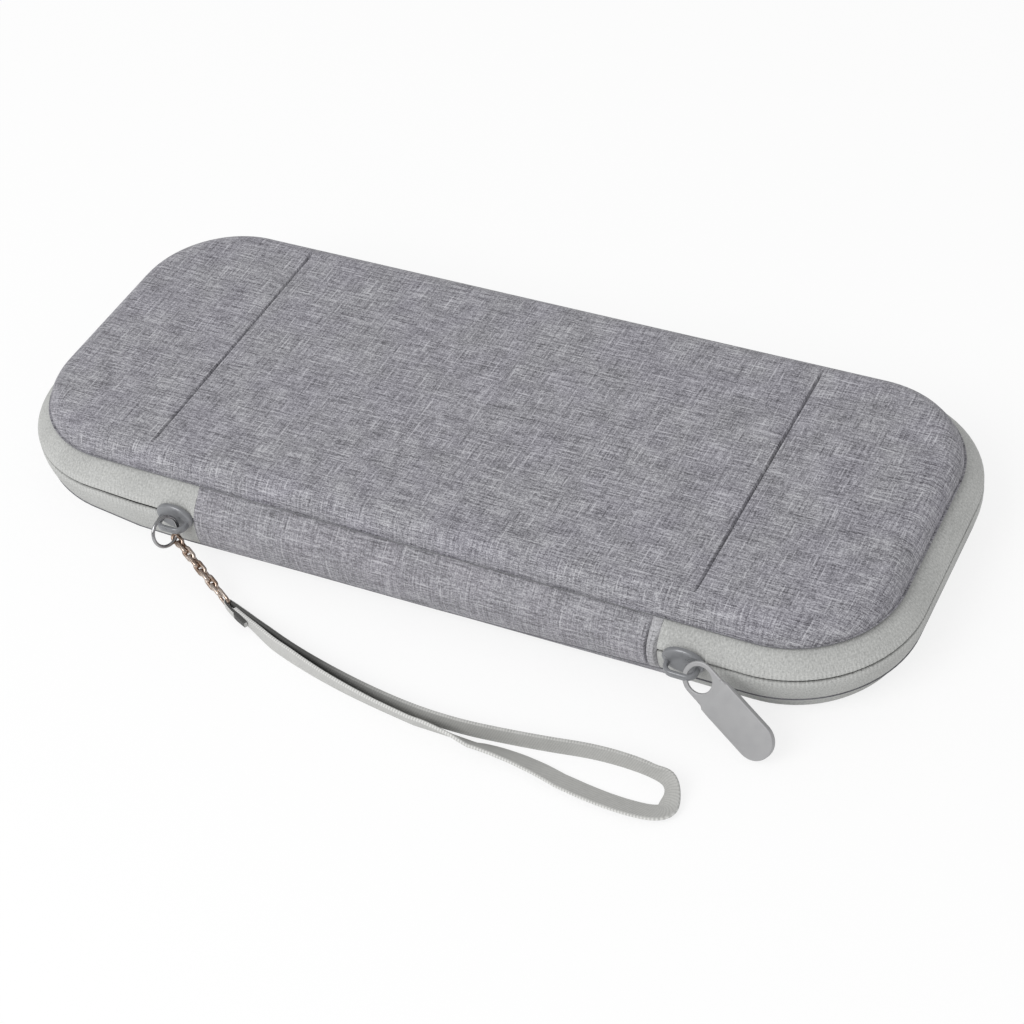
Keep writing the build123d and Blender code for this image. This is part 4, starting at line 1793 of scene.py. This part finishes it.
@dataclass
class Chain:
    """The wire ring on the strap slider, the small links and the larger link in the strap's fold."""

    case: CaseSizes
    finishes: Finishes
    slider_x: float
    fold: Vector
    ring_offset: Vector = field(default_factory=lambda: Vector((0.5, -6.6, -2.1)) * MM)
    ring_face: Vector = field(default_factory=lambda: Vector((0.94, -0.22, 0.26)))
    ring_radius: float = 4.3 * MM
    ring_wire: float = 1.0 * MM
    count: int = 8
    wire: float = 1.1 * MM
    inner_width: float = 0.9 * MM
    corner: float = 0.95 * MM
    start_turn: float = 42.0
    end_wire: float = 1.0 * MM
    end_length: float = 4.0 * MM
    end_width: float = 3.4 * MM
    end_corner: float = 1.2 * MM
    clearance: float = 0.15 * MM

    def loop(
        self, name: str, track: Racetrack, wire: float, place: Matrix, finish: bpy.types.Material
    ) -> bpy.types.Object:
        """Bend a round wire along a racetrack.

        Args:
            name: Name of the piece.
            track: Middle line of the wire.
            wire: Diameter of the wire.
            place: Where the loop lies.
            finish: Its finish.

        Returns:
            The loop.
        """
        bm = bmesh.new()
        spot = Matrix.Translation((0, -track.half_width, 0)) @ Matrix.Rotation(math.pi / 2, 4, "Y")
        verts = bmesh.ops.create_circle(bm, segments=12, radius=wire / 2, matrix=spot)["verts"]
        edges = list({edge for vert in verts for edge in vert.link_edges})
        track.sweep(bm, edges, 0.0, 0.0, (2, 10))
        settle(bm, 1e-6)
        bmesh.ops.transform(bm, matrix=place, verts=bm.verts[:])
        return bake(bm, name, (finish,))

    def build(self) -> list[bpy.types.Object]:
        """Make the ring and the links, in order from the slider to the strap."""
        centre = self.case.front(0, 0, self.slider_x) + self.ring_offset
        face = self.ring_face.normalized()
        reach = self.fold - centre
        down = (reach - face * reach.dot(face)).normalized()
        track = Racetrack(self.ring_radius, self.ring_radius, self.ring_radius)
        place = standing(centre, down, face)
        ring = self.loop("strap_ring_wire", track, self.ring_wire, place, self.finishes.ring)
        pieces = [settled_on(ring, Body.STRAP, Slot.CHAIN, "strap_ring")]
        turn = math.radians(self.start_turn)
        start = centre + (down * math.cos(turn) + face.cross(down) * math.sin(turn)) * self.ring_radius
        line = (self.fold - start).normalized()
        upright = line.cross(Vector((0, 0, 1))).normalized()
        level = upright.cross(line).normalized()
        span = (self.fold - start).length + self.ring_wire / 2 - self.end_length - self.end_wire / 2
        inner = span / self.count + self.clearance * (self.count + 1) / self.count
        pitch = inner - self.clearance
        first = inner / 2 - self.ring_wire / 2 - self.clearance
        track = Racetrack((inner + self.wire) / 2, (self.inner_width + self.wire) / 2, self.corner)
        for number in range(1, self.count + 1):
            middle = start + line * (first + pitch * (number - 1))
            flat = upright + level if number % 2 else upright - level
            place = standing(middle, line, flat)
            link = self.loop(f"chain_wire_{number}", track, self.wire, place, self.finishes.chain)
            pieces.append(settled_on(link, Body.STRAP, Slot.CHAIN, f"chain_link_{number}"))
        middle = self.fold - line * (self.end_length + self.end_wire) / 2
        track = Racetrack(
            (self.end_length + self.end_wire) / 2, (self.end_width + self.end_wire) / 2, self.end_corner
        )
        place = standing(middle, line, upright)
        link = self.loop("strap_link_wire", track, self.end_wire, place, self.finishes.chain)
        pieces.append(settled_on(link, Body.STRAP, Slot.CHAIN, "strap_link"))
        return pieces


@dataclass
class WristStrap:
    """The webbing loop, folded round the end link and sewn.

    The far leg stands on its edge, falls over at the loop's far turn, and the near leg lies nearly flat and
    stands up again towards the fold.
    """

    finishes: Finishes
    width: float = 5.5 * MM
    thickness: float = 1.0 * MM
    lift: float = 0.05 * MM
    fold_width: float = 2.0 * MM
    gather_start: float = -27.0 * MM
    gather_end: float = -44.3 * MM
    length: float = 306.6 * MM
    route: tuple[tuple[float, float], ...] = (
        (-37.5, -77.95), (-47.6, -73.65), (-46.66, -71.45), (-24.7, -80.55), (3.7, -86.9),
        (29.3, -89.4), (54.7, -86.4), (74.0, -82.8), (93.2, -84.1), (97.5, -95.7),
        (79.8, -97.6), (52.8, -93.5), (25.4, -91.0), (-2.3, -87.6), (-24.7, -82.2),
        (-34.2, -78.05), (-43.1, -74.25),
    )
    leans: tuple[tuple[float, float], ...] = (
        (-20.0, 0.0), (-8.0, 8.0), (10.0, 18.0), (26.0, 22.0), (34.0, 33.0), (38.0, 42.0), (42.0, 51.0),
        (46.0, 57.0), (53.0, 65.5), (60.0, 72.0), (68.0, 76.0), (120.0, 77.0),
    )
    flop_start: float = 13.0 * MM
    flop_end: float = 0.5 * MM
    tuck: float = 1.6 * MM
    tuck_span: tuple[float, float] = (22.0 * MM, 66.0 * MM)
    sight_slope: float = 1.04
    tail_taper: float = 0.5
    tail_run: float = 4.0 * MM
    tail_points: int = 12
    spacing: float = 0.25 * MM
    link_wire: float = 1.0 * MM
    link_clearance: float = 0.15 * MM

    def fold_middle(self) -> Vector:
        """The middle of the end link's wire inside the strap's fold."""
        tail, near, far = (Vector(point) * MM for point in self.route[:3])
        inward = (tail - near).normalized()
        spot = (near + far) / 2 + inward * (self.thickness / 2 + self.link_wire / 2 + self.link_clearance)
        return Vector((spot.x, spot.y, self.lift + self.width / 2))

    def line(self) -> list[Vector]:
        """Points along the strap's middle, read from a smooth spline through its route."""
        curve = bpy.data.curves.new("strap_line", "CURVE")
        curve.dimensions = "3D"
        spline = curve.splines.new("NURBS")
        spline.points.add(len(self.route) - 1)
        for point, (x, y) in zip(spline.points, self.route):
            point.co = (x * MM, y * MM, self.lift + self.width / 2, 1.0)
        spline.order_u = 3
        spline.use_endpoint_u = True
        spline.resolution_u = 14
        holder = bpy.data.objects.new("strap_line", curve)
        bpy.context.scene.collection.objects.link(holder)
        bpy.context.view_layer.update()
        mesh = bpy.data.meshes.new_from_object(holder)
        points = [vert.co.copy() for vert in mesh.vertices]
        bpy.data.objects.remove(holder)
        bpy.data.curves.remove(curve)
        bpy.data.meshes.remove(mesh)
        kept = [points[0]]
        for point in points[1:]:
            if (point - kept[-1]).length > self.spacing:
                kept.append(point)
        return kept

    def lean_at(self, x: float, to_turn: float) -> float:
        """Outward lean of the ribbon from upright.

        Args:
            x: Place along the case.
            to_turn: Run that is left to the loop's far turn, below zero on the near leg.

        Returns:
            The lean in radians. The far leg stands and falls over just before the turn.
        """
        if to_turn > 0:
            share = (self.flop_start - to_turn) / (self.flop_start - self.flop_end)
            return math.radians(self.leans[-1][1]) * ease(share)
        return math.radians(between(self.leans, x / MM))

    def slide_at(self, x: float, lean: float, to_turn: float) -> float:
        """How far the leaning ribbon is drawn into the loop.

        Args:
            x: Place along the case.
            lean: Its lean there.
            to_turn: Run that is left to the loop's far turn, below zero on the near leg.

        Returns:
            The shift towards the inside of the loop.
        """
        flat_lean = math.radians(self.leans[-1][1])
        flat = max(0.0, math.sin(flat_lean) - self.sight_slope * math.cos(flat_lean))
        if to_turn > 0:
            return self.width * flat * (math.sin(lean) / math.sin(flat_lean)) ** 2
        start, end = self.tuck_span
        share = min(max((x - start) / (end - start), 0.0), 1.0)
        drawn = max(0.0, math.sin(lean) - self.sight_slope * math.cos(lean))
        return self.width * drawn + self.tuck * math.sin(math.pi * share)

    def width_at(self, x: float) -> float:
        """Width of the ribbon, which is gathered where it goes round the link."""
        share = (self.gather_start - x) / (self.gather_start - self.gather_end)
        return self.width + (self.fold_width - self.width) * ease(share)

    def frames(self, points: list[Vector]) -> list[tuple[Matrix, float]]:
        """Place of the ribbon's section at each point, and the section's width there.

        Args:
            points: Points of the strap's line.

        Returns:
            The places and widths, in order.
        """
        turning = max(range(len(points)), key=lambda number: points[number].x)
        strides = [(after - before).length for before, after in zip(points, points[1:])]
        made = []
        for number, point in enumerate(points):
            before = points[max(number - 1, 0)]
            after = points[min(number + 1, len(points) - 1)]
            way = (after - before).normalized()
            out = Vector((-way.y, way.x, 0.0))
            to_turn = sum(strides[number:turning]) if number < turning else -1.0
            lean = self.lean_at(point.x, to_turn)
            width = self.width_at(point.x)
            if number < self.tail_points:
                tail = min((point - points[0]).length / self.tail_run, 1.0)
                width *= self.tail_taper + (1 - self.tail_taper) * tail
            up = (Vector((0, 0, 1)) * math.cos(lean) + out * math.sin(lean)).normalized()
            foot = Vector((point.x, point.y, self.lift + (self.width - width) / 2))
            rise = abs(math.sin(lean)) * self.thickness / 2
            slide = self.slide_at(point.x, lean, to_turn)
            middle = foot + up * width / 2 + Vector((0, 0, rise)) - out * slide
            across = up.cross(way)
            turn = Matrix((across, up, way)).transposed().to_4x4()
            made.append((Matrix.Translation(middle) @ turn, width))
        return made

    def section(self) -> list[tuple[float, float]]:
        """Half thickness and height of the ribbon's section, for a width of one, going round once."""
        half = self.thickness / 2
        brow = half * 0.55
        side = [(brow, 0.5), (half, 0.46), (half, 0.2), (half, -0.2), (half, -0.46), (brow, -0.5)]
        return side + [(-depth, -height) for depth, height in side]

    def build_ribbon(self) -> tuple[bpy.types.Object, list[Vector]]:
        """Draw the section along the line, and lay the run map on it.

        Returns:
            The ribbon and the points that its middle follows.
        """
        frames = self.frames(self.line())
        turning = max(range(len(frames)), key=lambda number: frames[number][0].translation.x)
        section = self.section()
        bm = bmesh.new()
        layer = bm.loops.layers.uv.verify()
        place, width = frames[0]
        edges = close_ring(bm, [place @ Vector((depth, height * width, 0)) for depth, height in section])
        ring = [edge.verts[0] for edge in edges]
        first = edges
        run = 0.0
        for number, ((before, _), (here, width)) in enumerate(zip(frames, frames[1:])):
            stride = (here.translation - before.translation).length
            fresh = bmesh.ops.extrude_edge_only(bm, edges=edges)["geom"]
            pairs = grown_from(ring, new_verts(fresh))
            grown = [pairs[vert] for vert in ring]
            for vert, (depth, height) in zip(grown, section):
                vert.co = here @ Vector((depth, height * width, 0))
            heights = dict(zip(ring, ((run, height * self.width) for _, height in section)))
            heights.update(zip(grown, ((run + stride, height * self.width) for _, height in section)))
            local = here.inverted()
            for face in (item for item in fresh if isinstance(item, BMFace)):
                spot = local @ face.calc_center_median()
                # Inner faces, the far leg's edges and the tail take the back finish, so its painted shade
                # falls on them.
                inner = spot.x < (0.1 if number < turning else -0.1) * self.thickness
                face.material_index = int(inner or run < self.tail_run)
                for loop in face.loops:
                    loop[layer].uv = heights[loop.vert]
            edges = edges_within(fresh)
            ring = grown
            run += stride
        bmesh.ops.edgeloop_fill(bm, edges=first)
        bmesh.ops.edgeloop_fill(bm, edges=edges)
        bmesh.ops.recalc_face_normals(bm, faces=bm.faces[:])
        ribbon = bake(bm, "wrist_strap_webbing", (self.finishes.webbing, self.finishes.webbing_back))
        return ribbon, [place.translation for place, _ in frames]

    def build(self, chain: list[bpy.types.Object]) -> bpy.types.Object:
        """Args:
            chain: The ring and links that the strap hangs on; not used.

        Returns:
            The ribbon.
        """
        ribbon, path = self.build_ribbon()
        settled_on(ribbon, Body.STRAP, Slot.WEBBING, "wrist_strap")
        return ribbon


@dataclass
class NetPocket:
    """The net pocket under the lid's roof and the elastic hem along its mouth."""

    case: CaseSizes
    finishes: Finishes
    cell: float = 2.6 * MM
    yarn: float = 0.42 * MM

    def build_net(self) -> bpy.types.Object:
        """Make the net: a grid turned to diamonds, with its lines given body."""
        low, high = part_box("mesh_pocket")
        size = high - low
        bm = bmesh.new()
        bmesh.ops.create_grid(
            bm, x_segments=round(size.x / self.cell), y_segments=round(size.y / self.cell), size=0.5,
        )
        bmesh.ops.scale(bm, vec=(size.x - self.yarn, size.y - self.yarn, 1), verts=bm.verts[:])
        bmesh.ops.translate(bm, vec=(low + high) / 2, verts=bm.verts[:])
        grid = [edge for edge in bm.edges if not edge.is_boundary]
        bmesh.ops.poke(bm, faces=bm.faces[:])
        bmesh.ops.dissolve_edges(bm, edges=[edge for edge in grid if edge.is_valid])
        net = bake(bm, "pocket_net", (self.finishes.net,))
        wire = net.modifiers.new("yarn", "WIREFRAME")
        wire.thickness = self.yarn
        wire.use_boundary = True
        return settled_on(net, Body.LID, Slot.NET, "mesh_pocket")

    def build_hem(self) -> bpy.types.Object:
        """Make the elastic hem, a soft flat band with gathered ribs."""
        low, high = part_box("pocket_hem")
        size = high - low
        bm = bmesh.new()
        bmesh.ops.create_cube(bm, size=1.0)
        bmesh.ops.scale(bm, vec=size, verts=bm.verts[:])
        bmesh.ops.translate(bm, vec=(low + high) / 2, verts=bm.verts[:])
        bmesh.ops.bevel(bm, geom=bm.edges[:], offset=0.6 * MM, offset_type="OFFSET", segments=3, profile=0.5,
                        affect="EDGES", material=-1)
        count = round(size.x / (2.2 * MM))
        normal = Vector((1, 0, 0))
        for number in range(1, count):
            place = low.x + size.x * number / count
            bmesh.ops.bisect_plane(bm, geom=bm.faces[:] + bm.edges[:] + bm.verts[:], dist=1e-6,
                                   plane_co=normal * place, plane_no=normal)
        middle = (low.y + high.y) / 2
        for vert in bm.verts:
            number = round((vert.co.x - low.x) / size.x * count)
            if abs(vert.co.y - middle) > 0.3 * size.y and number % 2:
                vert.co.y += math.copysign(0.18 * MM, middle - vert.co.y)
            elif number % 2:
                vert.co.z += math.copysign(0.12 * MM, (low.z + high.z) / 2 - vert.co.z)
        hem = bake(bm, "pocket_hem_band", (self.finishes.binding,))
        return settled_on(hem, Body.LID, Slot.LINING, "pocket_hem")

    def build(self) -> list[bpy.types.Object]:
        """Make the net and its hem."""
        return [self.build_net(), self.build_hem()]


@dataclass
class Studio:
    """The pale floor, the soft light and the camera at the photograph's angle."""

    azimuth: float = 32.253
    elevation: float = 43.688
    roll: float = -8.336
    distance: float = 616.484 * MM
    view_angle: float = 25.688
    target: Vector = field(default_factory=lambda: Vector((18.83, -23.913, 15.5)) * MM)
    floor_size: float = 6.0
    sky: float = 0.70
    mirrored: float = 0.45
    key_power: float = 0.5
    key_way: Vector = field(default_factory=lambda: Vector((-0.28, -0.68, 0.68)))
    key_distance: float = 1.6
    key_size: float = 1.1

    def build_camera(self) -> None:
        """Place the camera."""
        azimuth, elevation, roll = (math.radians(v) for v in (self.azimuth, self.elevation, self.roll))
        level = Vector((math.cos(azimuth), math.sin(azimuth), 0))
        back = Vector((math.sin(azimuth) * math.cos(elevation), -math.cos(azimuth) * math.cos(elevation),
                       math.sin(elevation)))
        rise = back.cross(level)
        right = level * math.cos(roll) + rise * math.sin(roll)
        up = rise * math.cos(roll) - level * math.sin(roll)
        data = bpy.data.cameras.new("camera")
        data.angle = math.radians(self.view_angle)
        data.clip_start = 0.01
        camera = bpy.data.objects.new("camera", data)
        turn = Matrix((right, up, back)).transposed().to_4x4()
        camera.matrix_world = Matrix.Translation(self.target + back * self.distance) @ turn
        bpy.context.scene.collection.objects.link(camera)
        bpy.context.scene.camera = camera

    def build_light(self) -> None:
        """Hang one broad soft lamp at the front and light the room evenly."""
        data = bpy.data.lights.new("key", "AREA")
        data.shape = "DISK"
        data.size = self.key_size
        way = self.key_way.normalized()
        data.energy = self.key_power * math.pi * self.key_distance ** 2 * math.pi
        key = bpy.data.objects.new("key", data)
        turn = way.to_track_quat("Z", "Y").to_matrix().to_4x4()
        key.matrix_world = Matrix.Translation(way * self.key_distance) @ turn
        bpy.context.scene.collection.objects.link(key)
        world = bpy.data.worlds.new("room")
        bpy.context.scene.world = world
        world.use_nodes = True
        tree = world.node_tree
        shade = tree.nodes["Background"]
        shade.inputs["Color"].default_value = (1.0, 1.0, 1.0, 1.0)
        path = tree.nodes.new("ShaderNodeLightPath")
        total = None
        for output, gain in (("Is Camera Ray", 1.0 - self.sky), ("Is Glossy Ray", self.mirrored - self.sky)):
            step = tree.nodes.new("ShaderNodeMath")
            step.operation = "MULTIPLY_ADD"
            tree.links.new(path.outputs[output], step.inputs[0])
            step.inputs[1].default_value = gain
            step.inputs[2].default_value = self.sky
            if total:
                tree.links.new(total.outputs[0], step.inputs[2])
            total = step
        tree.links.new(total.outputs[0], shade.inputs["Strength"])

    def build_floor(self) -> None:
        """Lay the floor, white to the camera and with the case's soft shadow on it."""
        bm = bmesh.new()
        bmesh.ops.create_grid(bm, x_segments=1, y_segments=1, size=self.floor_size / 2)
        bench = NodeBench("floor_white")
        bench.set(Base_Color=(0.93, 0.93, 0.93, 1.0), Roughness=1.0, Specular_IOR_Level=0.0)
        glow = bench.node("ShaderNodeEmission")
        path = bench.node("ShaderNodeLightPath")
        seen = bench.arith("MULTIPLY", path.outputs["Is Camera Ray"], 0.8)
        blend = bench.node("ShaderNodeMixShader")
        bench.join(seen, blend.inputs[0])
        bench.join(bench.surface.outputs[0], blend.inputs[1])
        bench.join(glow.outputs[0], blend.inputs[2])
        bench.join(blend.outputs[0], bench.output.inputs["Surface"])
        floor = bake(bm, "floor", (bench.material,))

    def build(self) -> None:
        """Set up the whole studio."""
        bpy.context.scene.view_settings.view_transform = "Standard"
        self.build_camera()
        self.build_light()
        self.build_floor()


def main() -> None:
    """Load the frame and build every piece round it."""
    logging.basicConfig(level=logging.INFO, format="%(name)s %(message)s")
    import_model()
    case = CaseSizes.read()
    finishes = Finishes.mix(WristStrap.width)
    strap = WristStrap(finishes)
    Studio().build()
    tab_x, strap_x = 84.4 * MM, -71.3 * MM
    chain = Chain(case, finishes, strap_x, strap.fold_middle()).build()
    strap.build(chain)
    Lid(case, finishes, Half.LID, draft=5.0, edge=6.2 * MM, hollow_edge=2.4 * MM).build()
    Tray(
        case, finishes, Half.BASE, draft=21.0, edge=3.6 * MM, hollow_edge=2.6 * MM, turn_in=0.35 * MM
    ).build()
    band = ZipBand(case, finishes)
    band.build()
    Spine(case, band, finishes).build()
    Slider(case, finishes, tab_x, "tab_slider", Body.TAB_CARRIAGE).build()
    Slider(case, finishes, strap_x, "strap_slider", Body.STRAP_CARRIAGE, sink=1.5 * MM).build()
    PullTab(case, finishes, tab_x).build()
    NetPocket(case, finishes).build()


if __name__ == "__main__":
    main()
